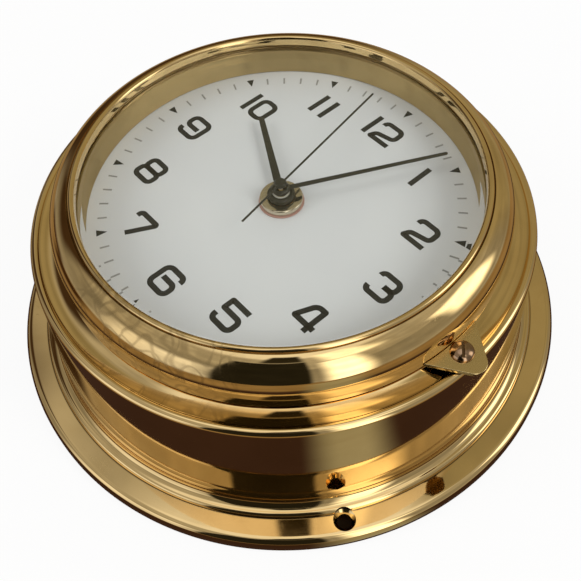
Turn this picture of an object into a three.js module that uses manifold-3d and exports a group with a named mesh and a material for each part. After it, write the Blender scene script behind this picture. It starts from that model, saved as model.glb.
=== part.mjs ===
// Brass ships clock on a round wall flange, with hinged bezel, lock screw and battery quartz movement.
// Millimetres. The origin is the centre of the flange's back face, +Z points out of the dial, +Y to twelve.
import * as THREE from 'three';
import { mergeVertices } from 'three/addons/utils/BufferGeometryUtils.js';
import Module from 'manifold-3d';

const wasm = await Module();
wasm.setup();

// Facets of round pieces
const RING_SEGMENTS = 40;
const ROUND_SEGMENTS = 16;
const SMALL_SEGMENTS = 8;
const CORNER_SEGMENTS = 3;

// Facets of profile curves
const EDGE_STEPS = 2;
const FOOT_STEPS = 3;
const COVE_STEPS = 4;
const RIM_STEPS = 5;
const ROLL_STEPS = 6;
const BEAD_STEPS = 4;
const DOME_STEPS = 4;

// Clearances
const SEAT_GAP = 0.1;
const FIT_GAP = 0.3;
const PIVOT_GAP = 0.15;

// Case and bezel, radial widths from the clear opening outwards
const OPENING_RADIUS = 58.9;
const LIP_OVERHANG = 3.3;
const BEZEL_WALL = 5.8;
const SHOULDER_WIDTH = 7.9;
const WALL_FLARE = 2.4;
const COVE_RADIUS = 2.8;
const FOOT_BEAD_WIDTH = 1.3;
const LAND_WIDTH = 7.6;
const CASE_WALL = 2.6;
const CASE_INNER_CHAMFER = 0.8;

// Case heights
const FLANGE_THICKNESS = 5.5;
const FLANGE_EDGE_ROUND = 2.4;
const FLANGE_BACK_CHAMFER = 0.8;
const FOOT_BEAD_HEIGHT = 1.6;
const WALL_HEIGHT = 37.3;
const RIM_BEAD_RADIUS = 1.6;
const RIM_BEAD_PROUD = 0.5;
const SEAT_HEIGHT = 0.5;
const SEAT_SETBACK = 1.5;

// Flange screw holes
const FLANGE_HOLE_COUNT = 3;
const FLANGE_HOLE_RADIUS = 2.2;
const COUNTERSINK_RADIUS = 3.3;
const COUNTERSINK_DEPTH = 1.3;

// Bezel
const BEZEL_SKIRT = 5.4;
const BEZEL_ROLL = 9.35;
const RIM_WIDTH = 2.1;
const RIM_PROUD = 0.65;
const RIM_GROOVE_WIDTH = 0.4;
const RIM_GROOVE_DEPTH = 0.5;
const LIP_HEIGHT = 3.0;

// Glass and its retainer
const GLASS_THICKNESS = 3.2;
const GLASS_BEVEL_WIDTH = 4.7;
const GLASS_BEVEL_DROP = 1.0;
const RETAINER_HEIGHT = 1.6;
const RETAINER_CLEARANCE = 0.4;

// Dial and the ring that frames it
const DIAL_THICKNESS = 1.0;
const DIAL_MARGIN = 0.9;
const DIAL_LEDGE = 3.4;
const DIAL_RING_STEP = 0.3;
const DIAL_RING_WALL = 0.9;
const DIAL_RING_FOOT_WIDTH = 4.5;
const DIAL_RING_FOOT_THICKNESS = 1.1;
const DIAL_RING_SCREW_COUNT = 3;
const DIAL_RING_SCREW_HEAD = 1.4;
const DIAL_RING_SCREW_HEAD_HEIGHT = 0.9;
const DIAL_RING_SCREW_SHANK = 0.7;
const DIAL_RING_SCREW_DEPTH = 2.4;
const DIAL_RING_SCREW_CROWN = 1.26;

// Lock lug and its captive screw
const LUG_HALF_WIDTH = 10.0;
const LUG_REACH = 11.2;
const LUG_TIP_RADIUS = 3.8;
const LUG_THICKNESS = 1.2;
const LUG_LIFT = 0.3;
const LOCK_HEAD_RADIUS = 3.3;
const LOCK_HEAD_HEIGHT = 2.0;
const LOCK_SHANK_RADIUS = 1.3;
const LOCK_SHANK_REACH = 3.2;
const LOCK_SLOT_WIDTH = 0.8;
const LOCK_SLOT_DEPTH = 0.8;
const LOCK_SLOT_TURN = Math.PI / 4;

// Bezel hinge
const KNUCKLE_RADIUS = 2.0;
const HINGE_PIN_RADIUS = 0.9;
const HINGE_PIN_HEAD_RADIUS = 1.5;
const HINGE_PIN_HEAD_LENGTH = 0.6;
const HINGE_STANDOFF = 0.7;
const HINGE_PLATE_THICKNESS = 0.5;
const HINGE_PLATE_HALF_DEPTH = 1.8;
const BEZEL_KNUCKLE_HALF_LENGTH = 3.6;
const CASE_KNUCKLE_LENGTH = 4.7;
const HINGE_WEB_THICKNESS = 1.8;
const HINGE_SCREW_SHANK = 0.7;
const HINGE_SCREW_HEAD = 1.3;
const HINGE_SCREW_HEAD_HEIGHT = 1.1;

// Movement housing
const HOUSING_CORNER = 4.0;
const HOUSING_WALL = 1.4;
const FRONT_PLATE = 1.4;
const COVER_THICKNESS = 1.2;
const COVER_SPACE = 0.6;
const DIVIDER_WALL = 1.2;
const WHEEL_SPACE = 0.7;
const POST_RADIUS = 1.0;

// Centre fixing
const BUSH_RADIUS = 4.0;
const BUSH_WALL = 1.1;
const BUSH_COLLAR_WIDTH = 2.0;
const RUBBER_WASHER_WIDTH = 3.8;
const RUBBER_WASHER_THICKNESS = 0.8;
const DIAL_WASHER_WIDTH = 2.6;
const DIAL_WASHER_THICKNESS = 0.4;
const NUT_WIDTH = 2.2;
const NUT_HEIGHT = 1.8;
const NUT_CHAMFER = 0.5;

// Gear train: layers, tooth counts and centre distances
const WHEEL_THICKNESS = 1.2;
const LAYER_PITCH = 2.2;
const LAYER_CLEARANCE = 0.3;
const ARBOR_RADIUS = 0.6;
const PIVOT_DEPTH = 0.7;
const CANNON_TEETH = 10;
const MINUTE_WORK_TEETH = 30;
const MINUTE_WORK_PINION_TEETH = 8;
const HOUR_TEETH = 32;
const SETTING_TEETH = 10;
const SECONDS_TEETH = 30;
const SECONDS_PINION_TEETH = 6;
const THIRD_TEETH = 48;
const THIRD_PINION_TEETH = 6;
const CENTER_TEETH = 45;
const INTERMEDIATE_TEETH = 36;
const INTERMEDIATE_PINION_TEETH = 6;
const ROTOR_PINION_TEETH = 6;
const MOTION_DISTANCE = 9.0;
const THIRD_DISTANCE = 10.8;
const INTERMEDIATE_DISTANCE = 10.5;
const ROTOR_DISTANCE = 7.2;
const ROTOR_DIRECTION = Math.PI / 3;

// Tooth form, in modules and in shares of one tooth pitch
const WHEEL_ADDENDUM = 0.95;
const PINION_ADDENDUM = 0.7;
const DEDENDUM = 1.25;
const WHEEL_ROOT_SHARE = 0.56;
const PINION_ROOT_SHARE = 0.36;
const PINION_TIP_SHARE = 0.2;

// Hand arbors
const HOUR_PIPE_WALL = 0.7;
const MINUTE_PIPE_WALL = 0.6;
const CENTER_HUB_RADIUS = 2.2;

// Hands, with the angles that they stand at in minutes of the dial
const HAND_THICKNESS = 0.4;
const HAND_LIFT = 0.2;
const HOUR_HAND_LENGTH = 33.8;
const HOUR_HAND_ROOT_WIDTH = 2.6;
const HOUR_HAND_TIP_WIDTH = 1.8;
const HOUR_BOSS_RADIUS = 4.1;
const HOUR_BOSS_HEIGHT = 1.4;
const HOUR_HAND_MINUTES = 50.0;
const MINUTE_HAND_LENGTH = 52.2;
const MINUTE_HAND_ROOT_WIDTH = 1.7;
const MINUTE_HAND_TIP_WIDTH = 1.2;
const MINUTE_BOSS_RADIUS = 2.7;
const MINUTE_BOSS_HEIGHT = 1.3;
const MINUTE_HAND_MINUTES = 4.5;
const SECOND_HAND_LENGTH = 48.0;
const SECOND_HAND_TAIL = 17.6;
const SECOND_HAND_WIDTH = 0.7;
const SECOND_HAND_THICKNESS = 0.3;
const SECOND_BOSS_RADIUS = 1.85;
const SECOND_BOSS_HEIGHT = 1.2;
const SECOND_HAND_MINUTES = 58.2;
const HAND_SPACING = 0.9;

// Setting knob
const SETTING_ARBOR_RADIUS = 1.2;
const KNOB_RADIUS = 4.5;
const KNOB_HEIGHT = 3.5;
const KNOB_FLUTES = 8;
const KNOB_FLUTE_RADIUS = 0.9;
const KNOB_GRIP = 2.0;

// Electric pieces
const BATTERY_RADIUS = 7.1;
const BATTERY_LENGTH = 50.5;
const BATTERY_NUB_RADIUS = 2.7;
const BATTERY_NUB_LENGTH = 1.3;
const CONTACT_THICKNESS = 0.4;
const CONTACT_WIDTH = 9.0;
const CONTACT_HEIGHT = 10.0;
const CONTACT_BOW = 0.9;
const ROTOR_MAGNET_RADIUS = 2.4;
const ROTOR_MAGNET_LENGTH = 3.2;
const STATOR_GAP = 0.5;
const STATOR_RING_WIDTH = 1.5;
const STATOR_THICKNESS = 1.2;
const STATOR_LEG_WIDTH = 2.4;
const COIL_RADIUS = 3.6;
const BOARD_WIDTH = 15.0;
const BOARD_LENGTH = 18.0;
const BOARD_THICKNESS = 0.8;
const CHIP_RADIUS = 3.4;
const CHIP_HEIGHT = 1.2;
const CHIP_OFFSET = 6.0;
const CRYSTAL_RADIUS = 1.0;
const CRYSTAL_LENGTH = 6.0;

// Radii that follow from the widths
const GLASS_BORE = OPENING_RADIUS + LIP_OVERHANG;
const BEZEL_RADIUS = GLASS_BORE + BEZEL_WALL;
const WALL_RADIUS = BEZEL_RADIUS + SHOULDER_WIDTH;
const CASE_BORE = WALL_RADIUS - CASE_WALL;
const BACK_BORE = CASE_BORE + WALL_FLARE;
const FOOT_CREST_RADIUS = WALL_RADIUS + WALL_FLARE + COVE_RADIUS;
const FOOT_BEAD_RADIUS = FOOT_CREST_RADIUS + FOOT_BEAD_WIDTH;
const FLANGE_RADIUS = FOOT_BEAD_RADIUS + LAND_WIDTH;
const FLANGE_HOLE_CIRCLE = FOOT_CREST_RADIUS + COUNTERSINK_RADIUS + SEAT_GAP;
const SEAT_RADIUS = BEZEL_RADIUS - SEAT_SETBACK;
const DIAL_RING_BORE = OPENING_RADIUS - DIAL_RING_STEP;
const DIAL_RING_RADIUS = DIAL_RING_BORE + DIAL_RING_WALL;
const DIAL_RING_FOOT_RADIUS = DIAL_RING_RADIUS + DIAL_RING_FOOT_WIDTH;
const DIAL_RING_SCREW_CIRCLE = (DIAL_RING_RADIUS + DIAL_RING_FOOT_RADIUS) / 2;
const DIAL_RADIUS = DIAL_RING_RADIUS + DIAL_MARGIN;
const BEZEL_RELIEF_RADIUS = DIAL_RING_FOOT_RADIUS + FIT_GAP;

// Heights that follow from the stack
const FOOT_CREST_Z = FLANGE_THICKNESS + FOOT_BEAD_HEIGHT;
const SHOULDER_Z = FOOT_CREST_Z + COVE_RADIUS + WALL_HEIGHT;
const SHOULDER_UNDERSIDE = SHOULDER_Z - CASE_WALL;
const SEAT_Z = SHOULDER_Z + SEAT_HEIGHT;
const DIAL_LEDGE_Z = SEAT_Z - DIAL_THICKNESS - 2 * SEAT_GAP;
const DIAL_BACK_Z = DIAL_LEDGE_Z + SEAT_GAP;
const DIAL_Z = DIAL_BACK_Z + DIAL_THICKNESS;
const BEZEL_Z = SEAT_Z + FIT_GAP;
const ROLL_Z = BEZEL_Z + BEZEL_SKIRT;
const ROLL_CENTER_RADIUS = BEZEL_RADIUS - BEZEL_ROLL;
const GROOVE_RADIUS = OPENING_RADIUS + RIM_WIDTH;
const ROLL_TOP_Z = ROLL_Z + Math.sqrt(BEZEL_ROLL ** 2 - (GROOVE_RADIUS - ROLL_CENTER_RADIUS) ** 2);
const RIM_CREST_Z = ROLL_TOP_Z + RIM_PROUD;
const LIP_Z = RIM_CREST_Z - LIP_HEIGHT;
const GLASS_TOP_Z = LIP_Z - SEAT_GAP;
const GLASS_Z = GLASS_TOP_Z - GLASS_THICKNESS;
const DIAL_RING_Z = SEAT_Z + 2 * SEAT_GAP;
const DIAL_RING_FOOT_Z = DIAL_RING_Z + DIAL_RING_FOOT_THICKNESS;
const DIAL_RING_TOP_Z = GLASS_Z - FIT_GAP;
const BEZEL_RELIEF_Z = DIAL_RING_FOOT_Z + SEAT_GAP + DIAL_RING_SCREW_HEAD_HEIGHT + FIT_GAP;

// Hinge axis, parallel to Y on the nine o'clock side
const HINGE_X = -(BEZEL_RADIUS + HINGE_STANDOFF + KNUCKLE_RADIUS);
const HINGE_PLATE_Z = SHOULDER_Z + SEAT_GAP;
const HINGE_Z = HINGE_PLATE_Z + HINGE_PLATE_THICKNESS + FIT_GAP + KNUCKLE_RADIUS;
const CASE_KNUCKLE_START = BEZEL_KNUCKLE_HALF_LENGTH + FIT_GAP;
const CASE_KNUCKLE_END = CASE_KNUCKLE_START + CASE_KNUCKLE_LENGTH;
const HINGE_SCREW_Y = (CASE_KNUCKLE_START + CASE_KNUCKLE_END) / 2;

// Lock lug and screw places on the three o'clock side
const LUG_Z = BEZEL_Z + LUG_LIFT;
const LUG_TOP_Z = LUG_Z + LUG_THICKNESS;
const LOCK_X = BEZEL_RADIUS + FIT_GAP + LOCK_HEAD_RADIUS;

// Housing length, from the battery between its contacts
const POSITIVE_SPACE = SEAT_GAP + CONTACT_THICKNESS + FIT_GAP;
const NEGATIVE_SPACE = SEAT_GAP + CONTACT_BOW + 2 * CONTACT_THICKNESS + SEAT_GAP;
const POCKET_HALF = (POSITIVE_SPACE + BATTERY_LENGTH + NEGATIVE_SPACE) / 2;
const HOUSING_HALF = POCKET_HALF + HOUSING_WALL;

// Movement heights, downwards from the back of the dial
const RUBBER_WASHER_Z = DIAL_BACK_Z - SEAT_GAP - RUBBER_WASHER_THICKNESS;
const HOUSING_FRONT_Z = RUBBER_WASHER_Z - SEAT_GAP;
const PLATE_INSIDE_Z = HOUSING_FRONT_Z - FRONT_PLATE;
const LAYERS = { hour: 0, motion: 1, center: 2, third: 3, seconds: 4, intermediate: 5 };
const COVER_INSIDE_Z = layerTop(LAYERS.intermediate) - WHEEL_THICKNESS - COVER_SPACE;
const COVER_Z = COVER_INSIDE_Z - COVER_THICKNESS;
const BATTERY_Z = PLATE_INSIDE_Z - SEAT_GAP - BATTERY_RADIUS;

// Gear modules and arbor places
const CANNON_MODULE = 2 * MOTION_DISTANCE / (CANNON_TEETH + MINUTE_WORK_TEETH);
const HOUR_MODULE = 2 * MOTION_DISTANCE / (MINUTE_WORK_PINION_TEETH + HOUR_TEETH);
const THIRD_MODULE = 2 * THIRD_DISTANCE / (SECONDS_PINION_TEETH + THIRD_TEETH);
const CENTER_MODULE = 2 * THIRD_DISTANCE / (THIRD_PINION_TEETH + CENTER_TEETH);
const SECONDS_MODULE = 2 * INTERMEDIATE_DISTANCE / (INTERMEDIATE_PINION_TEETH + SECONDS_TEETH);
const ROTOR_MODULE = 2 * ROTOR_DISTANCE / (ROTOR_PINION_TEETH + INTERMEDIATE_TEETH);
const SETTING_DISTANCE = CANNON_MODULE * (MINUTE_WORK_TEETH + SETTING_TEETH) / 2;
const MOTION_PLACE = new THREE.Vector2(-MOTION_DISTANCE, 0);
const SETTING_PLACE = new THREE.Vector2(-MOTION_DISTANCE - SETTING_DISTANCE, 0);
const THIRD_PLACE = new THREE.Vector2(0, THIRD_DISTANCE);
const INTERMEDIATE_PLACE = new THREE.Vector2(INTERMEDIATE_DISTANCE, 0);
const ROTOR_PLACE = polar(ROTOR_DISTANCE, ROTOR_DIRECTION).add(INTERMEDIATE_PLACE);

// Housing depth, from the centre wheel down past the divider and the battery
const CENTER_WHEEL_RADIUS = CENTER_MODULE * (CENTER_TEETH / 2 + WHEEL_ADDENDUM);
const DIVIDER_HIGH_Y = -CENTER_WHEEL_RADIUS - WHEEL_SPACE;
const DIVIDER_LOW_Y = DIVIDER_HIGH_Y - DIVIDER_WALL;
const BATTERY_Y = DIVIDER_LOW_Y - FIT_GAP - BATTERY_RADIUS;
const POCKET_DEPTH = BATTERY_RADIUS + FIT_GAP - BATTERY_Y;
const HOUSING_DEPTH = POCKET_DEPTH + HOUSING_WALL;

// Hand arbor radii, nested from the bush inwards
const BUSH_BORE = BUSH_RADIUS - BUSH_WALL;
const HOUR_PIPE_RADIUS = BUSH_BORE - FIT_GAP;
const HOUR_PIPE_BORE = HOUR_PIPE_RADIUS - HOUR_PIPE_WALL;
const MINUTE_PIPE_RADIUS = HOUR_PIPE_BORE - FIT_GAP;
const MINUTE_PIPE_BORE = MINUTE_PIPE_RADIUS - MINUTE_PIPE_WALL;

// Heights of the centre stack above the dial
const DIAL_WASHER_Z = DIAL_Z + SEAT_GAP;
const NUT_Z = DIAL_WASHER_Z + DIAL_WASHER_THICKNESS + SEAT_GAP;
const BUSH_TOP_Z = NUT_Z + NUT_HEIGHT + FIT_GAP;
const HOUR_HAND_Z = BUSH_TOP_Z + HAND_LIFT;
const MINUTE_HAND_Z = HOUR_HAND_Z + HOUR_BOSS_HEIGHT + HAND_SPACING;
const SECOND_HAND_Z = MINUTE_HAND_Z + MINUTE_BOSS_HEIGHT + HAND_SPACING;

// Finishes: colour, metalness, roughness
const FINISHES = {
  polishedBrass: [0xc9a24a, 1.0, 0.12],
  satinBrass: [0xb79a5c, 1.0, 0.4],
  paleDial: [0xe6e6e2, 0.0, 0.6],
  blackEnamel: [0x24231c, 0.1, 0.4],
  clearGlass: [0xf4f8f6, 0.0, 0.03],
  redFibre: [0x9a5a44, 0.0, 0.6],
  rubber: [0x1d1d1d, 0.0, 0.9],
  blackPlastic: [0x26272a, 0.0, 0.5],
  whiteNylon: [0xe4dfcf, 0.0, 0.5],
  steel: [0xb8bbc0, 1.0, 0.3],
  copperWire: [0xb4632f, 0.9, 0.4],
  greenBoard: [0x2c6a3f, 0.0, 0.5],
  batteryShell: [0x8d9197, 0.6, 0.4],
};
const MERGE_DISTANCE = 1e-4;

// Basic geometry

function polar(radius, angle) {
  return new THREE.Vector2(radius * Math.cos(angle), radius * Math.sin(angle));
}

// Angle of a hand that points at a number of minutes, from twelve o'clock on +Y.
function dialAngle(minutes) {
  return Math.PI / 2 - minutes * Math.PI / 30;
}

// Top of a wheel layer, counted from the front plate backwards.
function layerTop(layer) {
  return PLATE_INSIDE_Z - LAYER_CLEARANCE - layer * LAYER_PITCH;
}

// Points of an elliptic arc in the radius and height plane, ends included.
function arc(center, radii, from, to, steps) {
  return Array.from({ length: steps + 1 }, (_, step) => {
    const angle = from + (to - from) * step / steps;
    return [center[0] + radii[0] * Math.cos(angle), center[1] + radii[1] * Math.sin(angle)];
  });
}

function signedVolume(position, faces) {
  const [a, b, c] = [new THREE.Vector3(), new THREE.Vector3(), new THREE.Vector3()];
  return faces.reduce((sum, face) => {
    a.fromBufferAttribute(position, face[0]);
    b.fromBufferAttribute(position, face[1]);
    c.fromBufferAttribute(position, face[2]);
    return sum + a.dot(b.cross(c)) / 6;
  }, 0);
}

// A geometry with shared vertices merged, slivers dropped and every face turned outwards.
function closed(geometry) {
  const bare = new THREE.BufferGeometry();
  bare.setAttribute('position', geometry.getAttribute('position'));
  bare.setIndex(geometry.index);
  const merged = mergeVertices(bare, MERGE_DISTANCE);
  const faces = [];
  for (let i = 0; i < merged.index.count; i += 3) {
    const face = [merged.index.getX(i), merged.index.getX(i + 1), merged.index.getX(i + 2)];
    if (new Set(face).size === 3) faces.push(face);
  }
  if (signedVolume(merged.getAttribute('position'), faces) < 0) faces.forEach((face) => face.reverse());
  merged.setIndex(faces.flat());
  return merged;
}

// A profile of [radius, height] points turned about Z.
function revolve(profile, segments = ROUND_SEGMENTS) {
  const points = profile.map(([radius, height]) => new THREE.Vector2(radius, height));
  return closed(new THREE.LatheGeometry(points, segments).rotateX(Math.PI / 2));
}

function ring(profile, segments = RING_SEGMENTS) {
  return revolve([...profile, profile[0]], segments);
}

function tube(inner, outer, low, high, segments = ROUND_SEGMENTS) {
  return ring([[inner, low], [outer, low], [outer, high], [inner, high]], segments);
}

function cylinder(radius, low, high, segments = ROUND_SEGMENTS) {
  return revolve([[0, low], [radius, low], [radius, high], [0, high]], segments);
}

function box([x0, x1], [y0, y1], [z0, z1]) {
  const geometry = new THREE.BoxGeometry(x1 - x0, y1 - y0, z1 - z0);
  return closed(geometry.translate((x0 + x1) / 2, (y0 + y1) / 2, (z0 + z1) / 2));
}

// A flat outline raised from one height to another.
function prism(shape, low, high, curveSegments = ROUND_SEGMENTS) {
  const options = { depth: high - low, bevelEnabled: false, curveSegments };
  return closed(new THREE.ExtrudeGeometry(shape, options).translate(0, 0, low));
}

function at(geometry, place) {
  return geometry.translate(place.x, place.y, 0);
}

// A piece made along Z laid along X, or along Y.
function alongX(geometry) {
  return geometry.rotateY(Math.PI / 2);
}

function alongY(geometry) {
  return geometry.rotateX(-Math.PI / 2);
}

// Joining and cutting

function toSolid(geometry) {
  return new wasm.Manifold(new wasm.Mesh({
    numProp: 3,
    vertProperties: new Float32Array(geometry.getAttribute('position').array),
    triVerts: new Uint32Array(geometry.index.array),
  }));
}

function toGeometry(solid) {
  const mesh = solid.getMesh();
  const geometry = new THREE.BufferGeometry();
  geometry.setAttribute('position', new THREE.BufferAttribute(mesh.vertProperties, 3));
  geometry.setIndex(new THREE.BufferAttribute(mesh.triVerts, 1));
  return geometry;
}

function join(...geometries) {
  return toGeometry(geometries.map(toSolid).reduce((sum, next) => sum.add(next)));
}

function cut(geometry, ...tools) {
  return toGeometry(tools.map(toSolid).reduce((rest, tool) => rest.subtract(tool), toSolid(geometry)));
}

function piece(name, geometry, finish) {
  const [color, metalness, roughness] = FINISHES[finish];
  const material = new THREE.MeshStandardMaterial({ color, metalness, roughness });
  const mesh = new THREE.Mesh(geometry, material);
  mesh.name = name;
  return mesh;
}

function group(...children) {
  return new THREE.Group().add(...children);
}

// Case: wall flange, beaded foot, flared wall, rolled rim and the stepped seat for dial and bezel

function caseProfile() {
  const half = Math.PI / 2;
  const edgeZ = FLANGE_THICKNESS - FLANGE_EDGE_ROUND;
  const rimCenter = [WALL_RADIUS - RIM_BEAD_RADIUS, SHOULDER_Z + RIM_BEAD_PROUD - RIM_BEAD_RADIUS];
  const rimEnd = Math.PI - Math.asin((RIM_BEAD_RADIUS - RIM_BEAD_PROUD) / RIM_BEAD_RADIUS);
  const edge = [FLANGE_EDGE_ROUND, FLANGE_EDGE_ROUND];
  const foot = [FOOT_BEAD_WIDTH, FOOT_BEAD_HEIGHT];
  const cove = [COVE_RADIUS, COVE_RADIUS];
  const ledgeRadius = DIAL_RADIUS - DIAL_LEDGE;
  return [
    [BACK_BORE, 0],
    [FLANGE_RADIUS - FLANGE_BACK_CHAMFER, 0],
    [FLANGE_RADIUS, FLANGE_BACK_CHAMFER],
    ...arc([FLANGE_RADIUS - FLANGE_EDGE_ROUND, edgeZ], edge, 0, half, EDGE_STEPS),
    ...arc([FOOT_CREST_RADIUS, FLANGE_THICKNESS], foot, 0, half, FOOT_STEPS),
    ...arc([FOOT_CREST_RADIUS, FOOT_CREST_Z + COVE_RADIUS], cove, -half, -Math.PI, COVE_STEPS).slice(1),
    ...arc(rimCenter, [RIM_BEAD_RADIUS, RIM_BEAD_RADIUS], 0, rimEnd, RIM_STEPS),
    [SEAT_RADIUS, SHOULDER_Z],
    [SEAT_RADIUS, SEAT_Z],
    [DIAL_RADIUS + FIT_GAP, SEAT_Z],
    [DIAL_RADIUS + FIT_GAP, DIAL_LEDGE_Z],
    [ledgeRadius, DIAL_LEDGE_Z],
    [ledgeRadius, SHOULDER_UNDERSIDE],
    [CASE_BORE - CASE_INNER_CHAMFER, SHOULDER_UNDERSIDE],
    [CASE_BORE, SHOULDER_UNDERSIDE - CASE_INNER_CHAMFER],
  ];
}

// Countersunk screw holes at twelve, four and eight o'clock.
function flangeHole(index) {
  const place = polar(FLANGE_HOLE_CIRCLE, Math.PI / 2 + index * 2 * Math.PI / FLANGE_HOLE_COUNT);
  const top = FOOT_CREST_Z + FIT_GAP;
  return at(revolve([
    [0, -FIT_GAP],
    [FLANGE_HOLE_RADIUS, -FIT_GAP],
    [FLANGE_HOLE_RADIUS, FLANGE_THICKNESS - COUNTERSINK_DEPTH],
    [COUNTERSINK_RADIUS, FLANGE_THICKNESS],
    [COUNTERSINK_RADIUS, top],
    [0, top],
  ]), place);
}

function dialRingScrewPlace(index) {
  return polar(DIAL_RING_SCREW_CIRCLE, index * 2 * Math.PI / DIAL_RING_SCREW_COUNT);
}

function dialRingScrewHole(index, low, high) {
  const radius = DIAL_RING_SCREW_SHANK + PIVOT_GAP;
  return at(cylinder(radius, low, high, SMALL_SEGMENTS), dialRingScrewPlace(index));
}

function hingeScrewHole(side, low, high) {
  const hole = cylinder(HINGE_SCREW_SHANK + PIVOT_GAP, low, high, SMALL_SEGMENTS);
  return hole.translate(HINGE_X, side * HINGE_SCREW_Y, 0);
}

function makeCase() {
  const screwFloor = DIAL_RING_Z - DIAL_RING_SCREW_DEPTH - FIT_GAP;
  const lockHole = cylinder(LOCK_SHANK_RADIUS + FIT_GAP, SHOULDER_UNDERSIDE - CASE_WALL, LUG_Z);
  const flangeHoles = Array.from({ length: FLANGE_HOLE_COUNT }, (_, index) => flangeHole(index));
  const screwHoles = Array.from({ length: DIAL_RING_SCREW_COUNT }, (_, index) => (
    dialRingScrewHole(index, screwFloor, SEAT_Z + FIT_GAP)
  ));
  const hingeHoles = [-1, 1].map((side) => hingeScrewHole(side, SHOULDER_UNDERSIDE - FIT_GAP, SEAT_Z));
  const body = ring(caseProfile());
  const shell = cut(body, ...flangeHoles, ...screwHoles, ...hingeHoles, lockHole.translate(LOCK_X, 0, 0));
  return piece('case', shell, 'polishedBrass');
}

// Dial, the satin ring that frames it and the three screws in the ring's foot

function dialRingScrew() {
  const seat = DIAL_RING_FOOT_Z + SEAT_GAP;
  const top = seat + DIAL_RING_SCREW_HEAD_HEIGHT;
  const low = DIAL_RING_Z - DIAL_RING_SCREW_DEPTH;
  const body = revolve([
    [0, low],
    [DIAL_RING_SCREW_SHANK, low],
    [DIAL_RING_SCREW_SHANK, seat],
    [DIAL_RING_SCREW_HEAD, seat],
    [DIAL_RING_SCREW_HEAD, (seat + top) / 2],
    [DIAL_RING_SCREW_CROWN, top],
    [0, top],
  ], SMALL_SEGMENTS);
  const slot = DIAL_RING_SCREW_SHANK / 2;
  const reach = 2 * DIAL_RING_SCREW_HEAD;
  return cut(body, box([-slot / 2, slot / 2], [-reach, reach], [top - slot, top + slot]));
}

function makeDial() {
  const dial = tube(BUSH_RADIUS + FIT_GAP, DIAL_RADIUS, DIAL_BACK_Z, DIAL_Z, RING_SEGMENTS);
  const frame = ring([
    [DIAL_RING_BORE, DIAL_RING_Z],
    [DIAL_RING_FOOT_RADIUS, DIAL_RING_Z],
    [DIAL_RING_FOOT_RADIUS, DIAL_RING_FOOT_Z],
    [DIAL_RING_RADIUS, DIAL_RING_FOOT_Z],
    [DIAL_RING_RADIUS, DIAL_RING_TOP_Z],
    [DIAL_RING_BORE, DIAL_RING_TOP_Z],
  ]);
  const holes = Array.from({ length: DIAL_RING_SCREW_COUNT }, (_, index) => (
    dialRingScrewHole(index, DIAL_RING_Z - FIT_GAP, DIAL_RING_FOOT_Z + FIT_GAP)
  ));
  const screws = Array.from({ length: DIAL_RING_SCREW_COUNT }, (_, index) => {
    const screw = at(dialRingScrew(), dialRingScrewPlace(index));
    return piece(`dial_ring_screw_${index + 1}`, screw, 'polishedBrass');
  });
  return group(
    piece('dial', dial, 'paleDial'),
    piece('dial_ring', cut(frame, ...holes), 'satinBrass'),
    ...screws,
  );
}

// Bezel with its rolled section, rim bead and lip, the bevelled glass and the ring that holds it

function bezelProfile() {
  const rollEnd = Math.acos((GROOVE_RADIUS + RIM_GROOVE_WIDTH / 2 - ROLL_CENTER_RADIUS) / BEZEL_ROLL);
  const rimOuter = GROOVE_RADIUS - RIM_GROOVE_WIDTH / 2;
  const rimHalf = (rimOuter - OPENING_RADIUS) / 2;
  const rimZ = RIM_CREST_Z - rimHalf;
  const grooveZ = ROLL_TOP_Z - RIM_GROOVE_DEPTH;
  return [
    [BEZEL_RELIEF_RADIUS, BEZEL_Z],
    [BEZEL_RADIUS, BEZEL_Z],
    ...arc([ROLL_CENTER_RADIUS, ROLL_Z], [BEZEL_ROLL, BEZEL_ROLL], 0, rollEnd, ROLL_STEPS),
    [GROOVE_RADIUS, grooveZ],
    ...arc([OPENING_RADIUS + rimHalf, rimZ], [rimHalf, rimHalf], 0, Math.PI, BEAD_STEPS),
    [OPENING_RADIUS, LIP_Z],
    [GLASS_BORE, LIP_Z],
    [GLASS_BORE, BEZEL_RELIEF_Z],
    [BEZEL_RELIEF_RADIUS, BEZEL_RELIEF_Z],
  ];
}

function makeBezel() {
  const paneRadius = GLASS_BORE - FIT_GAP;
  const pane = revolve([
    [0, GLASS_Z],
    [paneRadius, GLASS_Z],
    [paneRadius, GLASS_TOP_Z - GLASS_BEVEL_DROP],
    [paneRadius - GLASS_BEVEL_WIDTH, GLASS_TOP_Z],
    [0, GLASS_TOP_Z],
  ], RING_SEGMENTS);
  const retainerTop = GLASS_Z - SEAT_GAP;
  const retainerBore = DIAL_RING_RADIUS + RETAINER_CLEARANCE;
  const retainerLow = retainerTop - RETAINER_HEIGHT;
  const retainer = tube(retainerBore, paneRadius, retainerLow, retainerTop, RING_SEGMENTS);
  return group(
    piece('bezel', ring(bezelProfile()), 'polishedBrass'),
    piece('glass', pane, 'clearGlass'),
    piece('glass_retainer', retainer, 'polishedBrass'),
  );
}

// Lock lug: a pointed tongue brazed to the bezel, with a captive screw that enters the shoulder

function lugOutline() {
  const tipX = BEZEL_RADIUS + LUG_REACH - LUG_TIP_RADIUS;
  const slope = Math.atan2(LUG_HALF_WIDTH - LUG_TIP_RADIUS, tipX - BEZEL_RADIUS);
  const tip = Math.PI / 2 - slope;
  const shape = new THREE.Shape();
  shape.moveTo(OPENING_RADIUS, -LUG_HALF_WIDTH);
  shape.lineTo(BEZEL_RADIUS - SEAT_GAP, -LUG_HALF_WIDTH);
  shape.absarc(tipX, 0, LUG_TIP_RADIUS, -tip, tip, false);
  shape.lineTo(BEZEL_RADIUS - SEAT_GAP, LUG_HALF_WIDTH);
  shape.lineTo(OPENING_RADIUS, LUG_HALF_WIDTH);
  return shape;
}

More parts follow.
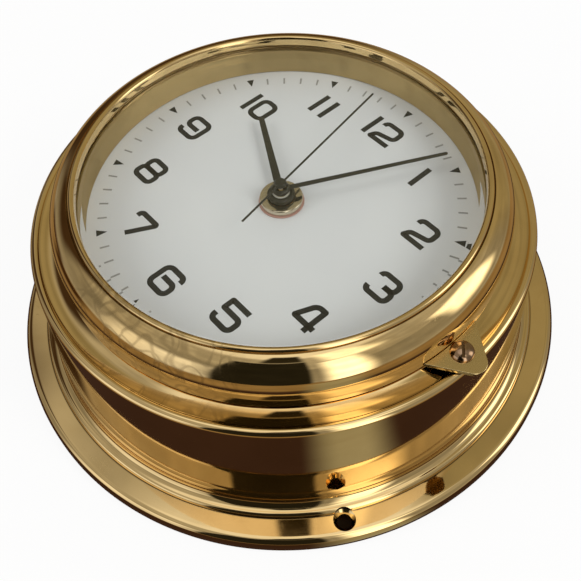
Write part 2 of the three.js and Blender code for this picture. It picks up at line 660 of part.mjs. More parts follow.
function bezelWallCutter(low, high) {
  return cylinder(BEZEL_RADIUS + SEAT_GAP, low - FIT_GAP, high + FIT_GAP, RING_SEGMENTS);
}

function makeLock() {
  const plate = prism(lugOutline(), LUG_Z, LUG_TOP_Z, SMALL_SEGMENTS);
  const hole = cylinder(LOCK_SHANK_RADIUS + FIT_GAP, LUG_Z - FIT_GAP, LUG_TOP_Z + FIT_GAP);
  const lug = cut(plate, bezelWallCutter(LUG_Z, LUG_TOP_Z), hole.translate(LOCK_X, 0, 0));
  const seat = LUG_TOP_Z + SEAT_GAP;
  const top = seat + LOCK_HEAD_HEIGHT;
  const dome = [LOCK_HEAD_RADIUS, LOCK_HEAD_HEIGHT];
  const body = revolve([
    [0, SHOULDER_Z - LOCK_SHANK_REACH],
    [LOCK_SHANK_RADIUS, SHOULDER_Z - LOCK_SHANK_REACH],
    [LOCK_SHANK_RADIUS, seat],
    ...arc([0, seat], dome, 0, Math.PI / 2, DOME_STEPS).slice(0, -1),
    [0, top],
  ]);
  const slotHalf = LOCK_SLOT_WIDTH / 2;
  const slotSpan = [-2 * LOCK_HEAD_RADIUS, 2 * LOCK_HEAD_RADIUS];
  const slot = box([-slotHalf, slotHalf], slotSpan, [top - LOCK_SLOT_DEPTH, top + LOCK_SLOT_DEPTH]);
  const screw = cut(body, slot.rotateZ(LOCK_SLOT_TURN)).translate(LOCK_X, 0, 0);
  return group(
    piece('lock_lug', lug, 'polishedBrass'),
    piece('lock_screw', screw, 'polishedBrass'),
  );
}

// Hinge: two knuckles on a plate screwed to the shoulder, one knuckle brazed to the bezel, and the pin

function hingeBarrel(radius, low, high) {
  return alongY(cylinder(radius, low, high)).translate(HINGE_X, 0, HINGE_Z);
}

function makeHinge() {
  const plateX = [HINGE_X - HINGE_PLATE_HALF_DEPTH, HINGE_X + HINGE_PLATE_HALF_DEPTH];
  const plateTop = HINGE_PLATE_Z + HINGE_PLATE_THICKNESS;
  const plate = box(plateX, [-CASE_KNUCKLE_END, CASE_KNUCKLE_END], [HINGE_PLATE_Z, plateTop]);
  const knuckles = [-1, 1].flatMap((side) => {
    const span = [side * CASE_KNUCKLE_START, side * CASE_KNUCKLE_END].sort((a, b) => a - b);
    const webX = [HINGE_X - KNUCKLE_RADIUS, HINGE_X + KNUCKLE_RADIUS].map((x) => (x + HINGE_X) / 2);
    return [hingeBarrel(KNUCKLE_RADIUS, ...span), box(webX, span, [HINGE_PLATE_Z, HINGE_Z])];
  });
  const pinHole = hingeBarrel(HINGE_PIN_RADIUS + PIVOT_GAP, -2 * CASE_KNUCKLE_END, 2 * CASE_KNUCKLE_END);
  const screwTop = HINGE_Z - HINGE_PIN_RADIUS - FIT_GAP;
  const screwHoles = [-1, 1].map((side) => hingeScrewHole(side, SHOULDER_Z, screwTop));
  const caseKnuckles = cut(join(plate, ...knuckles), pinHole, ...screwHoles);

  const span = [-BEZEL_KNUCKLE_HALF_LENGTH, BEZEL_KNUCKLE_HALF_LENGTH];
  const webZ = [HINGE_Z - HINGE_WEB_THICKNESS / 2, HINGE_Z + HINGE_WEB_THICKNESS / 2];
  const web = box([HINGE_X, -OPENING_RADIUS], span, webZ);
  const wall = bezelWallCutter(...webZ);
  const bezelKnuckle = cut(join(hingeBarrel(KNUCKLE_RADIUS, ...span), web), pinHole, wall);

  const headStart = CASE_KNUCKLE_END + SEAT_GAP;
  const headEnd = headStart + HINGE_PIN_HEAD_LENGTH;
  const pin = join(
    hingeBarrel(HINGE_PIN_RADIUS, -headEnd, headEnd),
    hingeBarrel(HINGE_PIN_HEAD_RADIUS, headStart, headEnd),
    hingeBarrel(HINGE_PIN_HEAD_RADIUS, -headEnd, -headStart),
  );

  const headTop = SHOULDER_UNDERSIDE - SEAT_GAP;
  const screws = [-1, 1].map((side, index) => {
    const body = revolve([
      [0, headTop - HINGE_SCREW_HEAD_HEIGHT],
      [HINGE_SCREW_HEAD, headTop - HINGE_SCREW_HEAD_HEIGHT],
      [HINGE_SCREW_HEAD, headTop],
      [HINGE_SCREW_SHANK, headTop],
      [HINGE_SCREW_SHANK, screwTop - FIT_GAP],
      [0, screwTop - FIT_GAP],
    ], SMALL_SEGMENTS);
    const screw = body.translate(HINGE_X, side * HINGE_SCREW_Y, 0);
    return piece(`hinge_screw_${index + 1}`, screw, 'polishedBrass');
  });
  return group(
    piece('case_knuckles', caseKnuckles, 'polishedBrass'),
    piece('bezel_knuckle', bezelKnuckle, 'polishedBrass'),
    piece('hinge_pin', pin, 'polishedBrass'),
    ...screws,
  );
}

// Hands: a tapered blade on a turned boss

function blade(length, tail, [rootWidth, tipWidth], minutes, [low, high]) {
  const angle = dialAngle(minutes);
  const corners = [
    [-tail, -rootWidth / 2],
    [length - tipWidth / 2, -tipWidth / 2],
    [length, 0],
    [length - tipWidth / 2, tipWidth / 2],
    [-tail, rootWidth / 2],
  ];
  const origin = new THREE.Vector2();
  const points = corners.map(([x, y]) => new THREE.Vector2(x, y).rotateAround(origin, angle));
  return prism(new THREE.Shape(points), low, high);
}

function handOnPipe(flat, bossRadius, bossHeight, bore, low) {
  const boss = revolve([
    [0, low],
    [bossRadius, low],
    [bossRadius, low + bossHeight / 2],
    [(bossRadius + bore) / 2, low + bossHeight],
    [0, low + bossHeight],
  ]);
  return cut(join(boss, flat), cylinder(bore, low - FIT_GAP, low + bossHeight + FIT_GAP));
}

function makeHands() {
  const hourWidths = [HOUR_HAND_ROOT_WIDTH, HOUR_HAND_TIP_WIDTH];
  const hourSpan = [HOUR_HAND_Z, HOUR_HAND_Z + HAND_THICKNESS];
  const hourBlade = blade(HOUR_HAND_LENGTH, 0, hourWidths, HOUR_HAND_MINUTES, hourSpan);
  const hourBore = HOUR_PIPE_RADIUS + SEAT_GAP;
  const hour = handOnPipe(hourBlade, HOUR_BOSS_RADIUS, HOUR_BOSS_HEIGHT, hourBore, HOUR_HAND_Z);

  const minuteWidths = [MINUTE_HAND_ROOT_WIDTH, MINUTE_HAND_TIP_WIDTH];
  const minuteSpan = [MINUTE_HAND_Z, MINUTE_HAND_Z + HAND_THICKNESS];
  const minuteBlade = blade(MINUTE_HAND_LENGTH, 0, minuteWidths, MINUTE_HAND_MINUTES, minuteSpan);
  const minuteBore = MINUTE_PIPE_RADIUS + SEAT_GAP;
  const minute = handOnPipe(minuteBlade, MINUTE_BOSS_RADIUS, MINUTE_BOSS_HEIGHT, minuteBore, MINUTE_HAND_Z);

  const secondWidths = [SECOND_HAND_WIDTH, SECOND_HAND_WIDTH];
  const secondSpan = [SECOND_HAND_Z, SECOND_HAND_Z + SECOND_HAND_THICKNESS];
  const secondBlade = blade(
    SECOND_HAND_LENGTH, SECOND_HAND_TAIL, secondWidths, SECOND_HAND_MINUTES, secondSpan,
  );
  const secondBore = ARBOR_RADIUS + SEAT_GAP;
  const second = handOnPipe(secondBlade, SECOND_BOSS_RADIUS, SECOND_BOSS_HEIGHT, secondBore, SECOND_HAND_Z);
  return group(
    piece('hour_hand', hour, 'blackEnamel'),
    piece('minute_hand', minute, 'blackEnamel'),
    piece('second_hand', second, 'blackEnamel'),
  );
}

// Centre fixing: the bush through the dial, its washers and the round nut

function makeCenterFixing() {
  const collarRadius = BUSH_RADIUS + BUSH_COLLAR_WIDTH;
  const bushLow = PLATE_INSIDE_Z + SEAT_GAP;
  const bush = ring([
    [BUSH_BORE, bushLow],
    [BUSH_RADIUS, bushLow],
    [BUSH_RADIUS, RUBBER_WASHER_Z],
    [collarRadius, RUBBER_WASHER_Z],
    [collarRadius, DIAL_BACK_Z - SEAT_GAP],
    [BUSH_RADIUS, DIAL_BACK_Z - SEAT_GAP],
    [BUSH_RADIUS, BUSH_TOP_Z],
    [BUSH_BORE, BUSH_TOP_Z],
  ], ROUND_SEGMENTS);
  const washerBore = collarRadius + FIT_GAP;
  const rubber = tube(
    washerBore, washerBore + RUBBER_WASHER_WIDTH, RUBBER_WASHER_Z, DIAL_BACK_Z - SEAT_GAP,
  );
  const nutBore = BUSH_RADIUS + FIT_GAP;
  const washerTop = DIAL_WASHER_Z + DIAL_WASHER_THICKNESS;
  const washer = tube(nutBore, nutBore + DIAL_WASHER_WIDTH, DIAL_WASHER_Z, washerTop);
  const nutTop = NUT_Z + NUT_HEIGHT;
  const nut = ring([
    [nutBore, NUT_Z],
    [nutBore + NUT_WIDTH, NUT_Z],
    [nutBore + NUT_WIDTH, nutTop - NUT_CHAMFER],
    [nutBore + NUT_WIDTH - NUT_CHAMFER, nutTop],
    [nutBore, nutTop],
  ], ROUND_SEGMENTS);
  return group(
    piece('center_bush', bush, 'polishedBrass'),
    piece('rubber_washer', rubber, 'rubber'),
    piece('dial_washer', washer, 'redFibre'),
    piece('dial_nut', nut, 'polishedBrass'),
  );
}

// Toothed wheels

// An outline of teeth, one of them centred on the phase angle, with the tip corners at shares of the pitch.
function toothedShape(teeth, module, addendum, rootShare, tipShares, phase) {
  const step = 2 * Math.PI / teeth;
  const tip = teeth * module / 2 + addendum * module;
  const root = teeth * module / 2 - DEDENDUM * module;
  const points = Array.from({ length: teeth }, (_, tooth) => {
    const middle = phase + tooth * step;
    return [
      polar(root, middle - rootShare * step / 2),
      ...tipShares.map((share) => polar(tip, middle + share * step / 2)),
      polar(root, middle + rootShare * step / 2),
    ];
  });
  return new THREE.Shape(points.flat());
}

// A wheel has pointed teeth, one of them on the line to its mate.
function wheel(teeth, module, phase, layer) {
  const shape = toothedShape(teeth, module, WHEEL_ADDENDUM, WHEEL_ROOT_SHARE, [0], phase);
  return prism(shape, layerTop(layer) - WHEEL_THICKNESS, layerTop(layer));
}

// A pinion whose tooth gap faces the mate, a little longer than the wheel that it turns.
function pinion(teeth, module, mate, layer) {
  const phase = mate + Math.PI / teeth;
  const tips = [-PINION_TIP_SHARE, PINION_TIP_SHARE];
  const shape = toothedShape(teeth, module, PINION_ADDENDUM, PINION_ROOT_SHARE, tips, phase);
  const margin = LAYER_CLEARANCE / 2;
  return prism(shape, layerTop(layer) - WHEEL_THICKNESS - margin, layerTop(layer) + margin);
}

function arbor(low, high, radius = ARBOR_RADIUS) {
  return cylinder(radius, low, high, SMALL_SEGMENTS);
}

const FRONT_PIVOT_Z = PLATE_INSIDE_Z + PIVOT_DEPTH - PIVOT_GAP;
const REAR_PIVOT_Z = COVER_INSIDE_Z - PIVOT_DEPTH + PIVOT_GAP;

function makeMotionWork() {
  const toMotion = Math.PI;
  const hourTop = HOUR_HAND_Z + HOUR_BOSS_HEIGHT - FIT_GAP;
  const hourLow = layerTop(LAYERS.hour) - WHEEL_THICKNESS;
  const hourBore = cylinder(HOUR_PIPE_BORE, hourLow - FIT_GAP, hourTop + FIT_GAP);
  const hourWheel = cut(join(
    wheel(HOUR_TEETH, HOUR_MODULE, toMotion, LAYERS.hour),
    cylinder(HOUR_PIPE_RADIUS, hourLow, hourTop),
  ), hourBore);

  const minuteTop = MINUTE_HAND_Z + MINUTE_BOSS_HEIGHT - FIT_GAP;
  const minuteLow = layerTop(LAYERS.center) - WHEEL_THICKNESS - LAYER_CLEARANCE;
  const minuteArbor = cut(
    join(
      pinion(CANNON_TEETH, CANNON_MODULE, toMotion, LAYERS.motion),
      cylinder(MINUTE_PIPE_RADIUS, minuteLow, minuteTop),
    ),
    cylinder(MINUTE_PIPE_BORE, minuteLow - FIT_GAP, minuteTop + FIT_GAP, SMALL_SEGMENTS),
  );

  const motionLow = layerTop(LAYERS.motion) - WHEEL_THICKNESS - LAYER_CLEARANCE;
  const minuteWork = at(join(
    wheel(MINUTE_WORK_TEETH, CANNON_MODULE, 0, LAYERS.motion),
    pinion(MINUTE_WORK_PINION_TEETH, HOUR_MODULE, 0, LAYERS.hour),
    arbor(motionLow, FRONT_PIVOT_Z),
  ), MOTION_PLACE);

  const knobTop = COVER_Z - FIT_GAP;
  const knobLow = knobTop - KNOB_HEIGHT;
  const setting = at(join(
    pinion(SETTING_TEETH, CANNON_MODULE, 0, LAYERS.motion),
    arbor(knobTop - KNOB_GRIP, layerTop(LAYERS.hour), SETTING_ARBOR_RADIUS),
    arbor(layerTop(LAYERS.hour) - FIT_GAP, FRONT_PIVOT_Z),
  ), SETTING_PLACE);
  const flutes = Array.from({ length: KNOB_FLUTES }, (_, index) => {
    const flute = cylinder(KNOB_FLUTE_RADIUS, knobLow - FIT_GAP, knobTop + FIT_GAP, SMALL_SEGMENTS);
    return at(flute, polar(KNOB_RADIUS, index * 2 * Math.PI / KNOB_FLUTES));
  });
  const grip = cylinder(SETTING_ARBOR_RADIUS + SEAT_GAP, knobTop - KNOB_GRIP - SEAT_GAP, knobTop + FIT_GAP);
  const disc = cylinder(KNOB_RADIUS, knobLow, knobTop, 2 * KNOB_FLUTES);
  const knob = at(cut(disc, ...flutes, grip), SETTING_PLACE);
  return group(
    piece('hour_wheel', hourWheel, 'whiteNylon'),
    piece('minute_arbor', minuteArbor, 'polishedBrass'),
    piece('minute_work_wheel', minuteWork, 'whiteNylon'),
    piece('setting_arbor', setting, 'whiteNylon'),
    piece('setting_knob', knob, 'blackPlastic'),
  );
}

function makeGoingTrain() {
  const toThird = Math.PI / 2;
  const toIntermediate = 0;
  const secondsTop = SECOND_HAND_Z + SECOND_BOSS_HEIGHT - FIT_GAP;
  const secondsWheel = join(
    wheel(SECONDS_TEETH, SECONDS_MODULE, toIntermediate, LAYERS.seconds),
    pinion(SECONDS_PINION_TEETH, THIRD_MODULE, toThird, LAYERS.third),
    arbor(REAR_PIVOT_Z, secondsTop),
  );
  const thirdWheel = at(join(
    wheel(THIRD_TEETH, THIRD_MODULE, toThird + Math.PI, LAYERS.third),
    pinion(THIRD_PINION_TEETH, CENTER_MODULE, toThird + Math.PI, LAYERS.center),
    arbor(REAR_PIVOT_Z, FRONT_PIVOT_Z),
  ), THIRD_PLACE);
  const hubLow = layerTop(LAYERS.center) - WHEEL_THICKNESS;
  const centerWheel = cut(
    join(
      wheel(CENTER_TEETH, CENTER_MODULE, toThird, LAYERS.center),
      cylinder(CENTER_HUB_RADIUS, hubLow, layerTop(LAYERS.center) + LAYER_CLEARANCE),
    ),
    cylinder(MINUTE_PIPE_RADIUS + PIVOT_GAP, hubLow - FIT_GAP, layerTop(LAYERS.motion)),
  );
  const intermediateWheel = at(join(
    wheel(INTERMEDIATE_TEETH, ROTOR_MODULE, ROTOR_DIRECTION, LAYERS.intermediate),
    pinion(INTERMEDIATE_PINION_TEETH, SECONDS_MODULE, toIntermediate + Math.PI, LAYERS.seconds),
    arbor(REAR_PIVOT_Z, FRONT_PIVOT_Z),
  ), INTERMEDIATE_PLACE);
  return group(
    piece('seconds_wheel', secondsWheel, 'whiteNylon'),
    piece('third_wheel', thirdWheel, 'whiteNylon'),
    piece('center_wheel', centerWheel, 'whiteNylon'),
    piece('intermediate_wheel', intermediateWheel, 'whiteNylon'),
  );
}

// Step motor: rotor, stator loop and the coil on the stator's core

const STATOR_Z = layerTop(LAYERS.third) - WHEEL_THICKNESS / 2 - STATOR_THICKNESS / 2;
const STATOR_TOP_Z = STATOR_Z + STATOR_THICKNESS;
const STATOR_LEFT_X = ROTOR_PLACE.x - STATOR_LEG_WIDTH / 2;
const STATOR_RIGHT_X = POCKET_HALF - FIT_GAP;
const CORE_CENTER_Y = POCKET_DEPTH - FIT_GAP - COIL_RADIUS;
const CORE_Y = CORE_CENTER_Y - STATOR_LEG_WIDTH / 2;
const CORE_TOP_Y = CORE_CENTER_Y + STATOR_LEG_WIDTH / 2;

function makeMotor() {
  const magnetLow = STATOR_Z - (ROTOR_MAGNET_LENGTH - STATOR_THICKNESS) / 2;
  const rotorShaft = at(join(
    pinion(ROTOR_PINION_TEETH, ROTOR_MODULE, ROTOR_DIRECTION + Math.PI, LAYERS.intermediate),
    arbor(REAR_PIVOT_Z, FRONT_PIVOT_Z),
  ), ROTOR_PLACE);
  const magnetBore = ARBOR_RADIUS + SEAT_GAP;
  const magnet = at(
    tube(magnetBore, ROTOR_MAGNET_RADIUS, magnetLow, magnetLow + ROTOR_MAGNET_LENGTH),
    ROTOR_PLACE,
  );
  const hole = ROTOR_MAGNET_RADIUS + STATOR_GAP;
  const span = [STATOR_Z, STATOR_TOP_Z];
  const legY = [ROTOR_PLACE.y, CORE_TOP_Y];
  const footY = [ROTOR_PLACE.y - STATOR_LEG_WIDTH / 2, ROTOR_PLACE.y + STATOR_LEG_WIDTH / 2];
  const core = box([STATOR_LEFT_X, STATOR_RIGHT_X], [CORE_Y, CORE_TOP_Y], span);
  const stator = cut(
    join(
      at(cylinder(hole + STATOR_RING_WIDTH, ...span), ROTOR_PLACE),
      box([STATOR_LEFT_X, STATOR_LEFT_X + STATOR_LEG_WIDTH], legY, span),
      box([STATOR_RIGHT_X - STATOR_LEG_WIDTH, STATOR_RIGHT_X], legY, span),
      box([ROTOR_PLACE.x, STATOR_RIGHT_X], footY, span),
      core,
    ),
    at(cylinder(hole, STATOR_Z - FIT_GAP, STATOR_TOP_Z + FIT_GAP), ROTOR_PLACE),
  );
  const coilLow = STATOR_LEFT_X + STATOR_LEG_WIDTH + FIT_GAP;
  const coilHigh = STATOR_RIGHT_X - STATOR_LEG_WIDTH - FIT_GAP;
  const coreMiddle = (STATOR_Z + STATOR_TOP_Z) / 2;
  const winding = alongX(cylinder(COIL_RADIUS, coilLow, coilHigh)).translate(0, CORE_CENTER_Y, coreMiddle);
  const slot = box(
    [coilLow - FIT_GAP, coilHigh + FIT_GAP],
    [CORE_Y - PIVOT_GAP, CORE_TOP_Y + PIVOT_GAP],
    [STATOR_Z - PIVOT_GAP, STATOR_TOP_Z + PIVOT_GAP],
  );
  return group(
    piece('rotor_shaft', rotorShaft, 'whiteNylon'),
    piece('rotor_magnet', magnet, 'steel'),
    piece('stator', stator, 'steel'),
    piece('coil', cut(winding, slot), 'copperWire'),
  );
}

// Housing, cover, battery, contacts and the circuit board

function roundedBlock(halfX, halfY, corner) {
  const shape = new THREE.Shape();
  const x = halfX - corner;
  const y = halfY - corner;
  shape.absarc(x, y, corner, 0, Math.PI / 2);
  shape.absarc(-x, y, corner, Math.PI / 2, Math.PI);
  shape.absarc(-x, -y, corner, Math.PI, 3 * Math.PI / 2);
  shape.absarc(x, -y, corner, 3 * Math.PI / 2, 2 * Math.PI);
  return shape;
}

function pivotHole(place, low, high, radius = ARBOR_RADIUS) {
  return at(cylinder(radius + PIVOT_GAP, low, high, SMALL_SEGMENTS), place);
}

function makeHousing() {
  const outline = roundedBlock(HOUSING_HALF, HOUSING_DEPTH, HOUSING_CORNER);
  const center = new THREE.Vector2();
  const pocketX = [-POCKET_HALF, POCKET_HALF];
  const coverLow = DIVIDER_LOW_Y + DIVIDER_WALL / 2;
  const far = 2 * HOUSING_HALF;
  const frontHole = [PLATE_INSIDE_Z - FIT_GAP, PLATE_INSIDE_Z + PIVOT_DEPTH];
  const posts = [STATOR_LEFT_X, STATOR_RIGHT_X - STATOR_LEG_WIDTH].map((x) => {
    const post = cylinder(POST_RADIUS, STATOR_TOP_Z + SEAT_GAP, HOUSING_FRONT_Z - SEAT_GAP, SMALL_SEGMENTS);
    return post.translate(x + STATOR_LEG_WIDTH / 2, CORE_CENTER_Y, 0);
  });
  const shell = cut(
    prism(outline, COVER_Z, HOUSING_FRONT_Z, CORNER_SEGMENTS),
    box(pocketX, [DIVIDER_HIGH_Y, POCKET_DEPTH], [COVER_Z - FIT_GAP, PLATE_INSIDE_Z]),
    box(pocketX, [-POCKET_DEPTH, DIVIDER_LOW_Y], [COVER_Z - FIT_GAP, PLATE_INSIDE_Z]),
    box([-far, far], [coverLow, far], [COVER_Z - FIT_GAP, COVER_INSIDE_Z + SEAT_GAP]),
  );
  const housing = cut(
    join(shell, ...posts),
    cylinder(BUSH_RADIUS + PIVOT_GAP, PLATE_INSIDE_Z - FIT_GAP, HOUSING_FRONT_Z + FIT_GAP),
    ...[MOTION_PLACE, SETTING_PLACE, THIRD_PLACE, INTERMEDIATE_PLACE, ROTOR_PLACE].map((place) => (
      pivotHole(place, ...frontHole)
    )),
  );
  const rearHole = [COVER_INSIDE_Z - PIVOT_DEPTH, COVER_INSIDE_Z + FIT_GAP];
  const cover = cut(
    prism(outline, COVER_Z, COVER_INSIDE_Z, CORNER_SEGMENTS),
    box([-far, far], [-far, coverLow + FIT_GAP], [COVER_Z - FIT_GAP, COVER_INSIDE_Z + FIT_GAP]),
    ...[center, THIRD_PLACE, INTERMEDIATE_PLACE, ROTOR_PLACE].map((place) => pivotHole(place, ...rearHole)),
    pivotHole(SETTING_PLACE, COVER_Z - FIT_GAP, COVER_INSIDE_Z + FIT_GAP, SETTING_ARBOR_RADIUS),
  );
  return group(
    piece('movement_housing', housing, 'blackPlastic'),
    piece('movement_cover', cover, 'blackPlastic'),
  );
}

function makePower() {
  const plateHigh = POCKET_HALF - SEAT_GAP;
  const plateLow = plateHigh - CONTACT_THICKNESS;
  const nubEnd = POCKET_HALF - POSITIVE_SPACE;
  const bodyEnd = nubEnd - BATTERY_NUB_LENGTH;
  const bodyStart = nubEnd - BATTERY_LENGTH;
  const battery = alongX(revolve([
    [0, bodyStart],
    [BATTERY_RADIUS, bodyStart],
    [BATTERY_RADIUS, bodyEnd],
    [BATTERY_NUB_RADIUS, bodyEnd],
    [BATTERY_NUB_RADIUS, nubEnd],
    [0, nubEnd],
  ])).translate(0, BATTERY_Y, BATTERY_Z);
  const contactY = [BATTERY_Y - CONTACT_WIDTH / 2, BATTERY_Y + CONTACT_WIDTH / 2];
  const contactZ = [BATTERY_Z - CONTACT_HEIGHT / 2, BATTERY_Z + CONTACT_HEIGHT / 2];
  const positive = box([plateLow, plateHigh], contactY, contactZ);

  const leaf = new THREE.Shape();
  const halfHeight = CONTACT_HEIGHT / 2;
  const bowed = CONTACT_THICKNESS + CONTACT_BOW;
  leaf.moveTo(0, -halfHeight);
  leaf.quadraticCurveTo(2 * bowed, 0, 0, halfHeight);
  leaf.lineTo(CONTACT_THICKNESS, halfHeight);
  leaf.quadraticCurveTo(2 * bowed + CONTACT_THICKNESS, 0, CONTACT_THICKNESS, -halfHeight);
  const negative = alongY(prism(leaf, 0, CONTACT_WIDTH, SMALL_SEGMENTS));
  negative.translate(-plateHigh, contactY[0], BATTERY_Z);
  return group(
    piece('battery', battery, 'batteryShell'),
    piece('positive_contact', positive, 'steel'),
    piece('negative_contact', negative, 'steel'),
  );
}

function makeCircuit() {
  const boardX = [-POCKET_HALF + FIT_GAP, -POCKET_HALF + FIT_GAP + BOARD_WIDTH];
  const boardY = [POCKET_DEPTH - FIT_GAP - BOARD_LENGTH, POCKET_DEPTH - FIT_GAP];
  const boardZ = [COVER_INSIDE_Z + SEAT_GAP, COVER_INSIDE_Z + SEAT_GAP + BOARD_THICKNESS];
  const top = boardZ[1] + SEAT_GAP;
  const middleX = (boardX[0] + boardX[1]) / 2;
  const dome = arc([0, top], [CHIP_RADIUS, CHIP_HEIGHT], 0, Math.PI / 2, DOME_STEPS).slice(0, -1);
  const chip = revolve([[0, top], ...dome, [0, top + CHIP_HEIGHT]]);
  const crystal = alongY(cylinder(CRYSTAL_RADIUS, 0, CRYSTAL_LENGTH, SMALL_SEGMENTS));
  return group(
    piece('circuit_board', box(boardX, boardY, boardZ), 'greenBoard'),
    piece('circuit_chip', chip.translate(middleX, boardY[0] + CHIP_OFFSET, 0), 'blackPlastic'),
    piece(
      'quartz_crystal',
      crystal.translate(middleX, boardY[1] - CRYSTAL_RADIUS - CRYSTAL_LENGTH, top + CRYSTAL_RADIUS),
      'steel',
    ),
  );
}

const clock = group(
  makeCase(),
  makeDial(),
  makeBezel(),
  makeLock(),
  makeHinge(),
  makeCenterFixing(),
  makeHands(),
  makeMotionWork(),
  makeGoingTrain(),
  makeMotor(),
  makeHousing(),
  makePower(),
  makeCircuit(),
);
clock.name = 'ships_clock';

export default clock;
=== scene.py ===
"""Looks of a brass ships clock: turned rings, printed dial, hands, bevelled glass and the movement behind.

Sizes are millimetres in the part's own frame: the origin is the centre of the flange's back face, +Z points
out of the dial and +Y to twelve o'clock. Meshes are put into Blender in metres.
"""
import logging
import math
from dataclasses import dataclass
from enum import Enum
from functools import cache
from typing import Callable, Optional, Sequence

import bmesh
import bpy
import numpy as np
from mathutils import Matrix, Vector


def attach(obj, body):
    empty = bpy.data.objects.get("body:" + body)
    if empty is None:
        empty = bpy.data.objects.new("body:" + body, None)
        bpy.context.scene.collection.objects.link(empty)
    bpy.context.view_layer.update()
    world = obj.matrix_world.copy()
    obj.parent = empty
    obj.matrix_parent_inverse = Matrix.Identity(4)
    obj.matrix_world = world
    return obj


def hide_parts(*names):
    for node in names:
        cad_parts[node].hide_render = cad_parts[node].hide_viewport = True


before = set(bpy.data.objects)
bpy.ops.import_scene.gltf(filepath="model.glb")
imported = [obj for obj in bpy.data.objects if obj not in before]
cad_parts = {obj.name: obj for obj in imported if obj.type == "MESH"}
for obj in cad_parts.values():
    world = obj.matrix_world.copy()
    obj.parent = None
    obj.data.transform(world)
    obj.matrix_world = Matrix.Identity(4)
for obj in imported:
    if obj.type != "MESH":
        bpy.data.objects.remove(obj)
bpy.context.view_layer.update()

METRES = 0.001
IMAGE_SIZE = 581
SENSOR = 36.0
SHARP = 35.0
GUARD = 0.3
log = logging.getLogger("ships_clock")

Array = np.ndarray
Span = tuple[float, float]
Corner = tuple[float, float, float]
Color = tuple[float, float, float]
Socket = bpy.types.NodeSocket
Sockets = dict[str, Socket]
Outputs = bpy.types.NodeOutputs


class Body(Enum):
    """Moving bodies that pieces ride on."""

    CASE = "case"
    BEZEL = "bezel"
    LOCK_SCREW = "lock_screw"
    HOUR = "hour"
    MINUTE = "minute"
    SECONDS = "seconds"
    SETTING = "setting"


class Slot(Enum):
    """Material slots of the record."""

    POLISHED_BRASS = "polished_brass"
    SATIN_BRASS = "satin_brass"
    DIAL_PAINT = "dial_paint"
    HAND_BLACK = "hand_black"
    CLEAR_GLASS = "clear_glass"
    RED_FIBRE = "red_fibre"
    RUBBER = "rubber"
    BLACK_PLASTIC = "black_plastic"
    WHITE_NYLON = "white_nylon"
    STEEL = "steel"
    COPPER_WIRE = "copper_wire"
    GREEN_BOARD = "green_board"
    BATTERY_SHELL = "battery_shell"


class Axis(Enum):
    """Axis that a turned piece runs along, as the matrix that lays Z on it."""

    X = ((0.0, 0.0, 1.0), (0.0, 1.0, 0.0), (-1.0, 0.0, 0.0))
    Y = ((1.0, 0.0, 0.0), (0.0, 0.0, 1.0), (0.0, -1.0, 0.0))
    Z = ((1.0, 0.0, 0.0), (0.0, 1.0, 0.0), (0.0, 0.0, 1.0))


# Shapes in the plane


def unit(vectors: Array) -> Array:
    """Rows scaled to length one; rows of no length stay zero."""
    length = np.linalg.norm(vectors, axis=-1, keepdims=True)
    return vectors / np.where(length > 1e-12, length, 1.0)


def rounded(corners: Sequence[Corner], steps: int, loop: bool = True) -> Array:
    """Points of a line whose corners are rounded, without repeats.

    Each corner p with radius q gets the arc that touches both its sides, at q / tan(half angle) from p,
    swept from one touching point to the other by spherical interpolation about the arc's centre.

    Args:
        corners: (x, y, radius) of each corner; a radius of 0 keeps the point.
        steps: arc steps at each corner.
        loop: whether the last point joins the first.

    Returns:
        (n, 2) points.
    """
    data = np.asarray(corners, float)
    point, radius = data[:, :2], data[:, 2:]
    before = unit(np.roll(point, 1, 0) - point)
    after = unit(np.roll(point, -1, 0) - point)
    half = np.arccos(np.clip((before * after).sum(1, keepdims=True), -1, 1)) / 2
    half = np.clip(half, 1e-3, math.pi / 2 - 1e-4)
    center = point + unit(before + after) * radius / np.sin(half)
    start = point + before * radius / np.tan(half) - center
    end = point + after * radius / np.tan(half) - center
    span = math.pi - 2 * half
    share = np.linspace(0, 1, steps + 1)
    first = (np.sin((1 - share) * span) / np.sin(span))[:, :, None]
    second = (np.sin(share * span) / np.sin(span))[:, :, None]
    points = (center[:, None] + first * start[:, None] + second * end[:, None]).reshape(-1, 2)
    apart = np.linalg.norm(np.roll(points, -1, 0) - points, axis=1) > 1e-5
    apart[-1] |= not loop
    return points[apart]


def box(x: Span, y: Span, edges: Span, steps: int) -> Array:
    """Rectangle from its sides, counter-clockwise, with edges for the radii of its left and right corners."""
    near, far = edges
    return rounded([(x[0], y[0], near), (x[1], y[0], far), (x[1], y[1], far), (x[0], y[1], near)], steps)


def arc(center: Span, radii: Span, start: float, end: float, steps: int) -> Array:
    """Elliptic arc, c + (a cos t, b sin t) with t in degrees, as (steps + 1, 3) corners with no rounding."""
    t = np.radians(np.linspace(start, end, steps + 1))
    return np.stack([center[0] + radii[0] * np.cos(t), center[1] + radii[1] * np.sin(t), 0 * t], 1)


def mitres(path: Array, loop: bool, least: float) -> Array:
    """Steps that move a line to its left by one: (m + n) / (1 + m.n), with the normals m and n of two sides.

    Args:
        path: (n, 2) points.
        loop: whether the last point joins the first.
        least: smallest divisor, which keeps sharp corners short.

    Returns:
        (n, 2) steps.
    """
    along = unit(np.roll(path, -1, 0) - path)
    if not loop:
        along[-1] = along[-2]
    normal = np.stack([-along[:, 1], along[:, 0]], 1)
    before = np.roll(normal, 1, 0)
    if not loop:
        before[0] = normal[0]
    return (normal + before) / np.maximum(1 + (normal * before).sum(1, keepdims=True), least)


